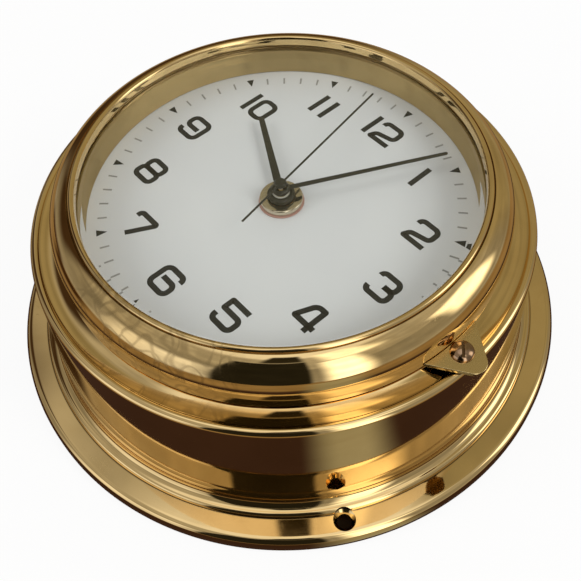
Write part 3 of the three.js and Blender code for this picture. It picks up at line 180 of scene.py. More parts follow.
def guarded(points: Array, loop: bool) -> Array:
    """Line with two more points on each long side, GUARD from its ends, so that wear and crease darkening
    keep to edges.

    Args:
        points: (n, 2) points.
        loop: whether the last point joins the first.

    Returns:
        (m, 2) points.
    """
    along = np.roll(points, -1, 0) - points
    length = np.linalg.norm(along, axis=1, keepdims=True)
    step = along * GUARD / np.maximum(length, 1e-9)
    rows = np.stack([points, points + step, points + along - step], 1)
    keep = np.repeat(length > 3 * GUARD, 3, 1)
    keep[:, 0] = True
    keep[-1, 1:] &= loop
    return rows[keep]


def softened(low: float, high: float, edge: float, steps: int) -> tuple[Array, Array]:
    """Rows of a wall with rounded edges: e (1 - cos f) inwards at e (1 - sin f) from a face.

    The angle f goes from 0 at the wall to a right angle at the face.

    Args:
        low: height of the lower face.
        high: height of the upper face.
        edge: radius of the edges.
        steps: steps of each edge.

    Returns:
        Depths and heights of the rows.
    """
    bend = np.linspace(0, math.pi / 2, steps + 1)
    depth, drop = edge * (1 - np.cos(bend)), edge * (1 - np.sin(bend))
    return np.concatenate([depth[::-1], depth]), np.concatenate([low + drop[::-1], high - drop])


def raised(flat: Array, height: Array) -> Array:
    """Points in the plane, (rows, columns, 2), set at heights that spread over the grid."""
    return np.concatenate([flat, np.broadcast_to(height[..., None], (*flat.shape[:2], 1))], 2)


# Meshes


class Shell:
    """Points and faces of one mesh, gathered from grids and flat caps."""

    def __init__(self) -> None:
        """Starts an empty shell."""
        self._points: list[Array] = []
        self._faces: list[list[int]] = []
        self._count = 0

    def _add(self, points: Array) -> Array:
        """Keeps points and returns their indices in the same grid."""
        flat = points.reshape(-1, 3)
        index = self._count + np.arange(len(flat)).reshape(points.shape[:-1])
        self._points.append(flat)
        self._count += len(flat)
        return index

    def grid(self, points: Array, wrap_rows: bool = False, wrap_columns: bool = False) -> "Shell":
        """Adds a grid of quads over points[row, column].

        Args:
            points: (rows, columns, 3) array.
            wrap_rows: whether the last row joins the first.
            wrap_columns: whether the last column joins the first.

        Returns:
            The shell.
        """
        index = self._add(points)
        if wrap_rows:
            index = np.vstack([index, index[:1]])
        if wrap_columns:
            index = np.hstack([index, index[:, :1]])
        quads = np.stack([index[:-1, :-1], index[1:, :-1], index[1:, 1:], index[:-1, 1:]], -1)
        self._faces += quads.reshape(-1, 4).tolist()
        return self

    def cap(self, points: Array) -> "Shell":
        """Adds one flat face round a closed line of points."""
        self._faces.append(self._add(points).tolist())
        return self

    def tube(self, points: Array, loop: bool = False) -> "Shell":
        """Adds a grid whose rows are closed lines, with a cap on either end unless the ends join."""
        self.grid(points, loop, True)
        return self if loop else self.cap(points[0]).cap(points[-1])

    def lathe(self, profile: Array, segments: int, closed: bool = True, axis: Axis = Axis.Z,
              place: Sequence[float] = (0.0, 0.0, 0.0)) -> "Shell":
        """Adds a profile turned about an axis: P(i, t) = (r_i cos t, r_i sin t, z_i).

        Args:
            profile: (n, 2) radii and heights.
            segments: steps of a full turn.
            closed: whether the profile's end joins its start.
            axis: direction of the axis.
            place: a point that the axis passes, which heights count from.

        Returns:
            The shell.
        """
        turn = np.linspace(0, 2 * math.pi, segments, endpoint=False)
        profile = guarded(profile, closed)
        radius, height = profile[:, :1], profile[:, 1:]
        points = np.stack([radius * np.cos(turn), radius * np.sin(turn), height + 0 * turn], -1)
        return self.grid(points @ np.array(axis.value).T + np.array(place), closed, True)

    def plate(self, outline: Array, low: float, high: float, edge: float) -> "Shell":
        """Adds a plate: its outline up a wall with rounded edges, moved in along its mitres."""
        depth, heights = softened(low, high, edge, 3)
        rows = outline + depth[:, None, None] * mitres(outline, True, least=0.2)
        return self.tube(raised(rows, heights[:, None]))

    def ribbon(self, path: Array, width: float, ends: Span, loop: bool = False) -> "Shell":
        """Adds a flat stroke along a path: its four edges are the path moved sideways by half the width.

        Args:
            path: (n, 2) points.
            width: stroke width.
            ends: heights of the stroke's foot and top.
            loop: whether the path closes.

        Returns:
            The shell.
        """
        side = mitres(path, loop, least=0.35) * width / 2
        edges = np.stack([path - side, path + side, path + side, path - side], 1)
        return self.tube(raised(edges, np.repeat(ends, 2)), loop)

    def piece(self, name: str) -> bpy.types.Object:
        """Puts the shell into the scene: merges doubles, turns faces outwards and shades it.

        Args:
            name: name of the piece.

        Returns:
            The new object, at the origin.
        """
        mesh = bpy.data.meshes.new(name)
        mesh.from_pydata((np.concatenate(self._points) * METRES).tolist(), [], self._faces)
        work = bmesh.new()
        work.from_mesh(mesh)
        bmesh.ops.remove_doubles(work, verts=work.verts, dist=2e-7)
        bmesh.ops.recalc_face_normals(work, faces=work.faces)
        work.to_mesh(mesh)
        work.free()
        shade(mesh)
        return linked(name, mesh)


def linked(name: str, data: bpy.types.ID) -> bpy.types.Object:
    """Puts a mesh, lamp or camera into the scene and returns its object."""
    thing = bpy.data.objects.new(name, data)
    bpy.context.scene.collection.objects.link(thing)
    return thing


def read(items: bpy.types.bpy_prop_collection, key: str, width: int = 1, kind: type = float) -> Array:
    """Values of a mesh's items.

    Args:
        items: its faces, edges, corners or vertices.
        key: name of the value.
        width: numbers in each value.
        kind: type of the numbers.

    Returns:
        (n,) array, or (n, width).
    """
    values = np.empty(len(items) * width, kind)
    items.foreach_get(key, values)
    return values.reshape(-1, width) if width > 1 else values


def store(mesh: bpy.types.Mesh, name: str, values: Array) -> None:
    """Writes one value for each vertex as an attribute."""
    mesh.attributes.new(name, "FLOAT", "POINT").data.foreach_set("value", values.astype(np.float32))


def corner_normals(weighted: Array, face: Array, vertex: Array) -> Array:
    """Normals of face corners, smooth over bends of up to SHARP degrees.

    A corner's normal is the sum of area times normal over those faces at its vertex that lean less than the
    limit from its own face, so flats stay flat beside small roundings and drilled edges stay crisp.

    Args:
        weighted: (faces, 3) normals times areas.
        face: face of each corner.
        vertex: vertex of each corner.

    Returns:
        (corners, 3) unit normals.
    """
    order = np.argsort(vertex, kind="stable")
    count = np.bincount(vertex)
    size = count[vertex]
    own = np.repeat(np.arange(len(vertex)), size)
    step = np.arange(len(own)) - np.repeat(np.cumsum(size) - size, size)
    other = order[np.repeat((np.cumsum(count) - count)[vertex], size) + step]
    flat = unit(weighted)
    near = (flat[face[own]] * flat[face[other]]).sum(1) > math.cos(math.radians(SHARP))
    own, gained = own[near], weighted[face[other[near]]]
    return unit(np.stack([np.bincount(own, gained[:, k], len(vertex)) for k in range(3)], 1))


def shade(mesh: bpy.types.Mesh) -> None:
    """Sets corner normals and an attribute named edge.

    The attribute is the mean over a vertex's sides of (n_b - n_a).(p_b - p_a) / |p_b - p_a|^2, where n is the
    unit sum of its faces' normals times their areas, per millimetre: above zero on proud edges, below zero
    in creases.

    Args:
        mesh: the mesh to shade.
    """
    mesh.polygons.foreach_set("use_smooth", np.ones(len(mesh.polygons), bool))
    weighted = read(mesh.polygons, "normal", 3) * read(mesh.polygons, "area")[:, None]
    face = np.repeat(np.arange(len(weighted)), read(mesh.polygons, "loop_total", kind=int))
    corner = read(mesh.loops, "vertex_index", kind=int)
    point = read(mesh.vertices, "co", 3)
    first, second = read(mesh.edges, "vertices", 2, int).T
    sums = np.zeros(point.shape)
    np.add.at(sums, corner, weighted[face])
    smooth = unit(sums)
    step = (point[second] - point[first]) / METRES
    bend = ((smooth[second] - smooth[first]) * step).sum(1) / np.maximum((step ** 2).sum(1), 1e-9)
    both = np.concatenate([first, second])
    sides = np.maximum(np.bincount(both, minlength=len(point)), 1)
    mesh.normals_split_custom_set(corner_normals(weighted, face, corner))
    store(mesh, "edge", np.bincount(both, np.concatenate([bend, bend]), len(point)) / sides)


def drill(piece: bpy.types.Object, section: Sequence[Span], segments: int, place: Sequence[float]) -> None:
    """Cuts a turned hole out of a piece and shades the piece again.

    Args:
        piece: the piece to cut.
        section: radii and heights of the hole.
        segments: steps of a full turn.
        place: a point that the hole's axis passes, which heights count from.
    """
    cutter = Shell().lathe(np.array(section), segments, False, place=place).piece("cutter")
    cut = piece.modifiers.new("hole", "BOOLEAN")
    cut.operation = "DIFFERENCE"
    cut.solver = "EXACT"
    cut.object = cutter
    bpy.context.view_layer.update()
    result = bpy.data.meshes.new_from_object(piece.evaluated_get(bpy.context.evaluated_depsgraph_get()))
    piece.modifiers.clear()
    piece.data = result
    bpy.data.objects.remove(cutter)
    for name in ("edge", "custom_normal"):
        if name in result.attributes:
            result.attributes.remove(result.attributes[name])
    shade(result)


def paint(thing: bpy.types.Object, finish: "Finish") -> None:
    """Puts a finish on an object, in place of what it had."""
    thing.data.materials.clear()
    thing.data.materials.append(finish.material())


def seat(piece: bpy.types.Object, finish: "Finish", body: Body, *nodes: str) -> None:
    """Gives a piece its finish, lets it ride on a body and take the place of CAD nodes.

    Args:
        piece: the new piece.
        finish: its finish.
        body: the body that carries it.
        nodes: CAD nodes that it stands for.
    """
    paint(piece, finish)
    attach(piece, body.value)
    if nodes:
        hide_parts(*nodes)
    stands_for = ", ".join(nodes) or "itself"
    log.info("%s rides on %s in %s, for %s", piece.name, body.value, finish.slot.value, stands_for)


def dress(finish: "Finish", *nodes: str) -> None:
    """Gives CAD nodes a finish.

    Args:
        finish: the finish.
        nodes: names of the nodes.
    """
    for name in nodes:
        paint(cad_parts[name], finish)
        log.info("%s keeps its solid, in %s", name, finish.slot.value)


# Shader node groups and finishes


class Sheet:
    """A node tree with short calls for adding nodes and links."""

    def __init__(self, tree: bpy.types.NodeTree) -> None:
        """Takes the tree to write on."""
        self.tree = tree

    @classmethod
    def clean(cls, owner: bpy.types.ID) -> "Sheet":
        """Returns the emptied tree of a material or a world."""
        owner.use_nodes = True
        owner.node_tree.nodes.clear()
        return cls(owner.node_tree)

    def node(self, kind: str, inputs: Optional[dict] = None, **settings: object) -> Outputs:
        """Adds a node.

        Args:
            kind: the node's type.
            inputs: socket name or number to a plain value, or to a socket that feeds it; colours are opaque.
            settings: the node's own settings.

        Returns:
            The node's outputs.
        """
        node = self.tree.nodes.new(kind)
        for name, value in settings.items():
            setattr(node, name, value)
        for name, value in (inputs or {}).items():
            socket = node.inputs[name]
            if isinstance(value, Socket):
                self.tree.links.new(value, socket)
            else:
                socket.default_value = (*value, 1.0) if socket.type == "RGBA" else value
        return node.outputs

    def math(self, operation: str, *values: object, clamp: bool = False) -> Socket:
        """Adds a Math node and returns its result."""
        return self.node("ShaderNodeMath", dict(enumerate(values)), operation=operation, use_clamp=clamp)[0]

    def vector_math(self, operation: str, *values: object) -> Outputs:
        """Adds a Vector Math node and returns its outputs."""
        return self.node("ShaderNodeVectorMath", dict(enumerate(values)), operation=operation)

    def mix(self, factor: object, first: object, second: object) -> Socket:
        """Adds a colour Mix node and returns its result."""
        return self.node("ShaderNodeMix", {0: factor, 6: first, 7: second}, data_type="RGBA")[2]

    def blend(self, factor: Socket, first: Socket, second: Socket) -> Socket:
        """Adds a Mix Shader node and returns its shader."""
        return self.node("ShaderNodeMixShader", {0: factor, 1: first, 2: second})[0]

    def ramp(self, value: Socket, low: float, high: float) -> Socket:
        """Adds a Map Range that takes low to 0 and high to 1, and returns its result."""
        inputs = {0: value, 1: low, 2: high, 3: 0.0, 4: 1.0}
        return self.node("ShaderNodeMapRange", inputs, interpolation_type="SMOOTHSTEP")[0]

    def noise(self, vector: Socket, scale: object, detail: float, **more: float) -> Outputs:
        """Adds a Noise Texture and returns its outputs."""
        return self.node("ShaderNodeTexNoise", {"Vector": vector, "Scale": scale, "Detail": detail, **more})

    def bump(self, height: Socket, depth: float, **normal: Socket) -> Socket:
        """Adds a Bump node whose height stands for a depth in millimetres, and returns its normal."""
        inputs = {"Height": height, "Distance": depth * METRES, "Strength": 1.0, **normal}
        return self.node("ShaderNodeBump", inputs)[0]

    def where(self) -> Socket:
        """Returns Object coordinates."""
        return self.node("ShaderNodeTexCoord")["Object"]

    def attribute(self, name: str) -> Socket:
        """Returns the value of a mesh attribute."""
        return self.node("ShaderNodeAttribute", attribute_name=name)["Fac"]

    def principled(self, inputs: dict[str, object]) -> Socket:
        """Adds a Principled node and returns its shader."""
        return self.node("ShaderNodeBsdfPrincipled", inputs)[0]

    def seen(self) -> Socket:
        """Returns 1 for rays that the eye, a mirror or glass sends out, else 0."""
        path = self.node("ShaderNodeLightPath")
        first = self.math("MAXIMUM", path["Is Camera Ray"], path["Is Glossy Ray"])
        return self.math("MAXIMUM", first, path["Is Transmission Ray"])


class Effect:
    """A shader node group that several finishes use, built once."""

    def __init__(self, name: str, draw: Callable[[Sheet, Outputs], Sockets], outputs: Sequence[str],
                 **inputs: object) -> None:
        """Notes the group's name, what draws it, its outputs and its inputs' defaults; Vector comes first."""
        self.name, self.draw, self.outputs = name, draw, outputs
        self.inputs = {"Vector": (0.0, 0.0, 0.0), **inputs}

    @cache
    def tree(self) -> bpy.types.NodeTree:
        """Returns the group, which is built on its first use."""
        tree = bpy.data.node_groups.new(self.name, "ShaderNodeTree")
        for name, value in self.inputs.items():
            kind = "NodeSocketVector" if isinstance(value, tuple) else "NodeSocketFloat"
            tree.interface.new_socket(name=name, in_out="INPUT", socket_type=kind).default_value = value
        for name in self.outputs:
            tree.interface.new_socket(name=name, in_out="OUTPUT", socket_type="NodeSocketFloat")
        sheet = Sheet(tree)
        sheet.node("NodeGroupOutput", self.draw(sheet, sheet.node("NodeGroupInput")))
        return tree

    def place(self, sheet: Sheet, **values: object) -> Outputs:
        """Places the group in a material, with values or sockets for its inputs, and returns its outputs."""
        return sheet.node("ShaderNodeGroup", values, node_tree=self.tree())


def draw_turning(sheet: Sheet, given: Outputs) -> Sockets:
    """Fine lines that run round the Z axis: noise over the distance from the axis and the height alone.

    Args:
        sheet: the group's tree.
        given: the group's inputs.

    Returns:
        A socket for each output.
    """
    part = sheet.node("ShaderNodeSeparateXYZ", {0: given["Vector"]})
    flat = sheet.node("ShaderNodeCombineXYZ", {0: part[0], 1: part[1]})[0]
    radius = sheet.vector_math("LENGTH", flat)["Value"]
    line = sheet.node("ShaderNodeCombineXYZ", {0: radius, 1: part[2]})[0]
    height = sheet.noise(line, given["Scale"], 3.0, Roughness=0.6)[0]
    return {"Height": height, "Mask": sheet.ramp(height, 0.35, 0.65)}


def draw_tarnish(sheet: Sheet, given: Outputs) -> Sockets:
    """Cloudy dulling: broad noise with finer noise in it, more in creases and less on proud edges.

    Args:
        sheet: the group's tree.
        given: the group's inputs.

    Returns:
        A socket for each output.
    """
    broad = sheet.noise(given["Vector"], given["Scale"], 6.0, Roughness=0.62, Distortion=0.6)[0]
    cloud = sheet.ramp(broad, 0.42, 0.72)
    crease = sheet.math("MULTIPLY", given["Edge"], -0.35, clamp=True)
    proud = sheet.math("MULTIPLY", given["Edge"], 0.5, clamp=True)
    dull = sheet.math("SUBTRACT", sheet.math("ADD", cloud, crease), proud, clamp=True)
    return {"Mask": sheet.math("MULTIPLY", dull, given["Amount"], clamp=True), "Crease": crease}


def draw_scratches(sheet: Sheet, given: Outputs) -> Sockets:
    """Hairline scratches: thin bands of noise that is stretched along two directions, in patches.

    Args:
        sheet: the group's tree.
        given: the group's inputs.

    Returns:
        A socket for each output.
    """
    bands = []
    for turn in (0.5, 2.1):
        spin = sheet.node("ShaderNodeMapping", {
            "Vector": given["Vector"], "Rotation": (0.2, 0.1, turn), "Scale": (1.0, 24.0, 24.0)})[0]
        noise = sheet.noise(spin, given["Scale"], 2.0)[0]
        bands.append(sheet.ramp(sheet.math("ABSOLUTE", sheet.math("SUBTRACT", noise, 0.5)), 0.006, 0.0))
    patch = sheet.ramp(sheet.noise(given["Vector"], given["Patch"], 2.0)[0], 0.5, 0.68)
    return {"Mask": sheet.math("MULTIPLY", sheet.math("MAXIMUM", *bands), patch)}


def draw_grain(sheet: Sheet, given: Outputs) -> Sockets:
    """Fine even grain: two sizes of noise.

    Args:
        sheet: the group's tree.
        given: the group's inputs.

    Returns:
        A socket for each output.
    """
    fine = sheet.noise(given["Vector"], given["Scale"], 4.0, Roughness=0.7)[0]
    broad = sheet.noise(given["Vector"], given["Patch"], 3.0)[0]
    return {"Height": fine, "Mask": sheet.ramp(broad, 0.3, 0.7)}


def draw_stains(sheet: Sheet, given: Outputs) -> Sockets:
    """Dried water marks: thin dark lines along the borders of wavy cells, inside one cloudy patch.

    Args:
        sheet: the group's tree.
        given: the group's inputs.

    Returns:
        A socket for each output.
    """
    point = given["Vector"]
    wave = sheet.noise(point, 70.0, 1.0)["Color"]
    bent = sheet.vector_math("MULTIPLY_ADD", point, wave, (0.004, 0.004, 0.004))[0]
    cell = sheet.node("ShaderNodeTexVoronoi", {"Vector": bent, "Scale": given["Scale"]},
                      feature="DISTANCE_TO_EDGE")
    rim = sheet.ramp(cell["Distance"], 0.14, 0.02)
    apart = sheet.vector_math("DISTANCE", point, given["Center"])["Value"]
    reach = sheet.ramp(sheet.math("DIVIDE", apart, given["Reach"]), 1.0, 0.45)
    blotch = sheet.math("MULTIPLY", sheet.ramp(sheet.noise(point, 160.0, 4.0)[0], 0.5, 0.62), 0.55)
    return {"Mask": sheet.math("MULTIPLY", sheet.math("MAXIMUM", rim, blotch), reach)}


TURNING = Effect("turning_lines", draw_turning, ("Height", "Mask"), Scale=4000.0)
TARNISH = Effect("tarnish_clouds", draw_tarnish, ("Mask", "Crease"), Scale=60.0, Edge=0.0, Amount=1.0)
SCRATCHES = Effect("hairline_scratches", draw_scratches, ("Mask",), Scale=30.0, Patch=40.0)
GRAIN = Effect("fine_grain", draw_grain, ("Height", "Mask"), Scale=3000.0, Patch=30.0)
STAINS = Effect("water_marks", draw_stains, ("Mask",), Scale=120.0, Center=(0.0, 0.0, 0.0), Reach=0.03)


def new_material(name: str, draw: Callable[[Sheet], Socket]) -> bpy.types.Material:
    """Makes a material.

    Args:
        name: its name.
        draw: adds the nodes and returns the shader.

    Returns:
        The material.
    """
    made = bpy.data.materials.new(name)
    sheet = Sheet.clean(made)
    sheet.node("ShaderNodeOutputMaterial", {"Surface": draw(sheet)})
    return made


@dataclass(frozen=True)
class Finish:
    """A surface finish, made once as a material."""

    name: str
    slot: Slot
    color: Color

    @cache
    def material(self) -> bpy.types.Material:
        """Returns the material, which is made on its first use."""
        return new_material(self.name, self.draw)

    def draw(self, sheet: Sheet) -> Socket:
        """Adds the finish's nodes.

        Args:
            sheet: the material's tree.

        Returns:
            The shader.
        """
        raise NotImplementedError


@dataclass(frozen=True)
class Turned(Finish):
    """Turned brass: clouds of tarnish and lines from the lathe, whose blur adds to the roughness."""

    dull: Color = (0.70, 0.48, 0.20)
    roughness: float = 0.025
    tarnish: float = 0.4
    tarnish_scale: float = 55.0
    lines: float = 0.0006
    line_scale: float = 2600.0
    line_blur: float = 0.015

    def worn(self, sheet: Sheet, where: Socket) -> tuple[Outputs, Outputs, Socket]:
        """Adds the clouds and the lines.

        Args:
            sheet: the material's tree.
            where: Object coordinates.

        Returns:
            Outputs of the clouds and of the lines, and the clouded colour.
        """
        edge = sheet.attribute("edge")
        clouds = TARNISH.place(sheet, Vector=where, Scale=self.tarnish_scale, Edge=edge, Amount=self.tarnish)
        turning = TURNING.place(sheet, Vector=where, Scale=self.line_scale)
        return clouds, turning, sheet.mix(clouds["Mask"], self.color, self.dull)


@dataclass(frozen=True)
class Brass(Turned):
    """Polished brass with turning lines, clouds of tarnish, hairline scratches and darker creases.

    Creases and water marks darken towards one dark colour, which below the underside height stands for
    painted shade under the part. A blur is the roughness that clouds, scratches or marks add, and a tone is
    the strength of a darkening.
    """

    # Dark colour of creases and water marks, and of the painted shade below the underside height.
    grime: Color = (0.10, 0.06, 0.02)
    tarnish_blur: float = 0.07
    waves: float = 0.012
    wave_scale: float = 34.0
    scratch_scale: float = 26.0
    scratch_patch: float = 45.0
    scratch_blur: float = 0.2
    stains: bool = False
    stain_scale: float = 105.0
    stain_center: Corner = (0.0190, -0.0630, 0.0585)
    stain_reach: float = 0.034
    stain_tone: float = 0.38
    stain_blur: float = 0.14
    # Painted shade under a part: below the underside height (mm, 0 for none) the colour darkens over the rise
    # by the given strength.
    underside: float = 0.0
    underside_rise: float = 0.15
    underside_tone: float = 0.85

    def draw(self, sheet: Sheet) -> Socket:
        """Adds the nodes of polished brass and returns the shader."""
        where = sheet.where()
        clouds, turning, color = self.worn(sheet, where)
        scratches = SCRATCHES.place(sheet, Vector=where, Scale=self.scratch_scale, Patch=self.scratch_patch)
        color = sheet.mix(clouds["Crease"], color, self.grime)
        rough = sheet.math("MULTIPLY_ADD", clouds["Mask"], self.tarnish_blur, self.roughness)
        rough = sheet.math("MULTIPLY_ADD", turning["Mask"], self.line_blur, rough)
        if self.stains:
            marks = STAINS.place(sheet, Vector=where, Scale=self.stain_scale, Center=self.stain_center,
                                 Reach=self.stain_reach)["Mask"]
            color = sheet.mix(sheet.math("MULTIPLY", marks, self.stain_tone), color, self.grime)
            rough = sheet.math("MULTIPLY_ADD", marks, self.stain_blur, rough)
        # Painted shade: the colour darkens below the underside height, for the shade under the part.
        if self.underside:
            height = sheet.node("ShaderNodeSeparateXYZ", {0: where})[2]
            low = sheet.ramp(height, (self.underside + self.underside_rise) * METRES, self.underside * METRES)
            color = sheet.mix(sheet.math("MULTIPLY", low, self.underside_tone), color, self.grime)
        worn = sheet.math("MULTIPLY", scratches["Mask"], self.scratch_blur)
        rough = sheet.math("ADD", rough, worn, clamp=True)
        ripple = sheet.bump(sheet.noise(where, self.wave_scale, 2.0)[0], self.waves)
        normal = sheet.bump(turning["Height"], self.lines, Normal=ripple)
        return sheet.principled({"Base Color": color, "Metallic": 1.0, "Roughness": rough, "Normal": normal})


@dataclass(frozen=True)
class SatinBrass(Turned):
    """Brass left with its turning lines, which blur what it mirrors."""

    dull: Color = (0.42, 0.30, 0.12)
    roughness: float = 0.34
    tarnish: float = 0.6
    tarnish_scale: float = 40.0
    lines: float = 0.003
    line_scale: float = 3500.0
    line_blur: float = 0.08

    def draw(self, sheet: Sheet) -> Socket:
        """Adds the nodes of satin brass and returns the shader."""
        _, turning, color = self.worn(sheet, sheet.where())
        rough = sheet.math("MULTIPLY_ADD", turning["Mask"], self.line_blur, self.roughness)
        normal = sheet.bump(turning["Height"], self.lines)
        round_axis = sheet.node("ShaderNodeTangent", direction_type="RADIAL", axis="Z")[0]
        return sheet.principled({
            "Base Color": color, "Metallic": 1.0, "Roughness": rough, "Normal": normal, "Anisotropic": 1.0,
            "Anisotropic Rotation": 0.25, "Tangent": round_axis})


@dataclass(frozen=True)
class Coat(Finish):
    """Paint, plastic, rubber or fibre with a fine grain and a slow change of shade."""

    shade: Color
    roughness: float
    metallic: float = 0.0
    grain: float = 0.01
    scale: float = 3000.0
    patch: float = 30.0
    specular: float = 0.5
    spread: float = 0.16

    def draw(self, sheet: Sheet) -> Socket:
        """Adds the nodes of a grained coat and returns the shader."""
        grain = GRAIN.place(sheet, Vector=sheet.where(), Scale=self.scale, Patch=self.patch)
        color = sheet.mix(grain["Mask"], self.color, self.shade)
        rough = sheet.math("MULTIPLY_ADD", grain["Height"], self.spread, self.roughness - self.spread / 2)
        normal = sheet.bump(grain["Height"], self.grain)
        return sheet.principled({
            "Base Color": color, "Metallic": self.metallic, "Roughness": rough, "Normal": normal,
            "Specular IOR Level": self.specular})


@dataclass(frozen=True)
class Glass(Finish):
    """Clear flat glass with faint wiping marks; light and shadow rays pass it straight."""

    clear: Color = (0.95, 0.96, 0.955)
    index: float = 1.5
    wiping: float = 0.012
    wiping_scale: float = 400.0
    wiping_patch: float = 18.0

    def draw(self, sheet: Sheet) -> Socket:
        """Adds the nodes of clear glass and returns the shader."""
        grain = GRAIN.place(sheet, Vector=sheet.where(), Scale=self.wiping_scale, Patch=self.wiping_patch)
        rough = sheet.math("MULTIPLY", grain["Mask"], self.wiping)
        pane = sheet.principled({
            "Base Color": self.color, "Metallic": 0.0, "Roughness": rough, "IOR": self.index,
            "Transmission Weight": 1.0})
        clear = sheet.node("ShaderNodeBsdfTransparent", {"Color": self.clear})[0]
        path = sheet.node("ShaderNodeLightPath")
        return sheet.blend(sheet.math("MAXIMUM", path["Is Shadow Ray"], path["Is Diffuse Ray"]), pane, clear)


GOLD: Color = (0.84, 0.61, 0.29)
CASE_BRASS = Brass("case_brass", Slot.POLISHED_BRASS, GOLD)
BEZEL_BRASS = Brass("bezel_brass", Slot.POLISHED_BRASS, GOLD, tarnish=0.6, grime=(0.20, 0.13, 0.05),
                    stains=True)
SCREW_BRASS = Brass("screw_brass", Slot.POLISHED_BRASS, (0.42, 0.27, 0.16), (0.20, 0.12, 0.07), 0.12,
                    tarnish=1.0, waves=0.002)
# Painted shade on the lug's underside, below 48.32 mm.
LUG_BRASS = Brass("lug_brass", Slot.POLISHED_BRASS, (0.76, 0.57, 0.27), roughness=0.2, tarnish=0.7,
                  waves=0.004, underside=48.32)
RING_BRASS = SatinBrass("turned_brass", Slot.SATIN_BRASS, (0.60, 0.44, 0.20))
RETAINER_BRASS = Brass("retainer_brass", Slot.POLISHED_BRASS, GOLD, roughness=0.45)
NUT_BRASS = Brass("nut_brass", Slot.POLISHED_BRASS, (0.66, 0.58, 0.44), (0.50, 0.43, 0.31), 0.08,
                  waves=0.002)
DIAL_PAINT = Coat("white_paint", Slot.DIAL_PAINT, (0.725, 0.735, 0.74), (0.70, 0.71, 0.72), 0.65, grain=0.004,
                  specular=0.3)
NUMERAL_INK = Coat("numeral_ink", Slot.DIAL_PAINT, (0.012, 0.013, 0.012), (0.018, 0.018, 0.017), 0.6,
                   grain=0.003, specular=0.15)
TICK_INK = Coat("tick_ink", Slot.DIAL_PAINT, (0.30, 0.30, 0.29), (0.35, 0.35, 0.34), 0.6, grain=0.003,
                specular=0.15)
HAND_BLACK = Coat("black_enamel", Slot.HAND_BLACK, (0.016, 0.015, 0.009), (0.024, 0.022, 0.014), 0.34,
                  grain=0.003, specular=0.35)
PANE = Glass("bevelled_glass", Slot.CLEAR_GLASS, (0.98, 0.99, 0.985))
FIBRE = Coat("fibre_red", Slot.RED_FIBRE, (0.48, 0.27, 0.22), (0.40, 0.22, 0.18), 0.6)
RUBBER = Coat("soft_rubber", Slot.RUBBER, (0.02, 0.02, 0.02), (0.03, 0.03, 0.03), 0.8)
PLASTIC = Coat("moulded_black", Slot.BLACK_PLASTIC, (0.022, 0.022, 0.025), (0.032, 0.032, 0.035), 0.45,
               grain=0.03, scale=1600.0)
NYLON = Coat("moulded_nylon", Slot.WHITE_NYLON, (0.82, 0.79, 0.68), (0.76, 0.72, 0.6), 0.4)
STEEL = Coat("bright_steel", Slot.STEEL, (0.58, 0.58, 0.6), (0.5, 0.5, 0.52), 0.3, metallic=1.0, grain=0.002)
COPPER = Coat("wound_copper", Slot.COPPER_WIRE, (0.62, 0.27, 0.12), (0.5, 0.2, 0.08), 0.35, metallic=1.0)
BOARD = Coat("board_green", Slot.GREEN_BOARD, (0.04, 0.2, 0.08), (0.03, 0.16, 0.06), 0.45)
BATTERY = Coat("battery_jacket", Slot.BATTERY_SHELL, (0.05, 0.052, 0.06), (0.07, 0.072, 0.08), 0.35,
               metallic=0.6)


# Sub-assemblies


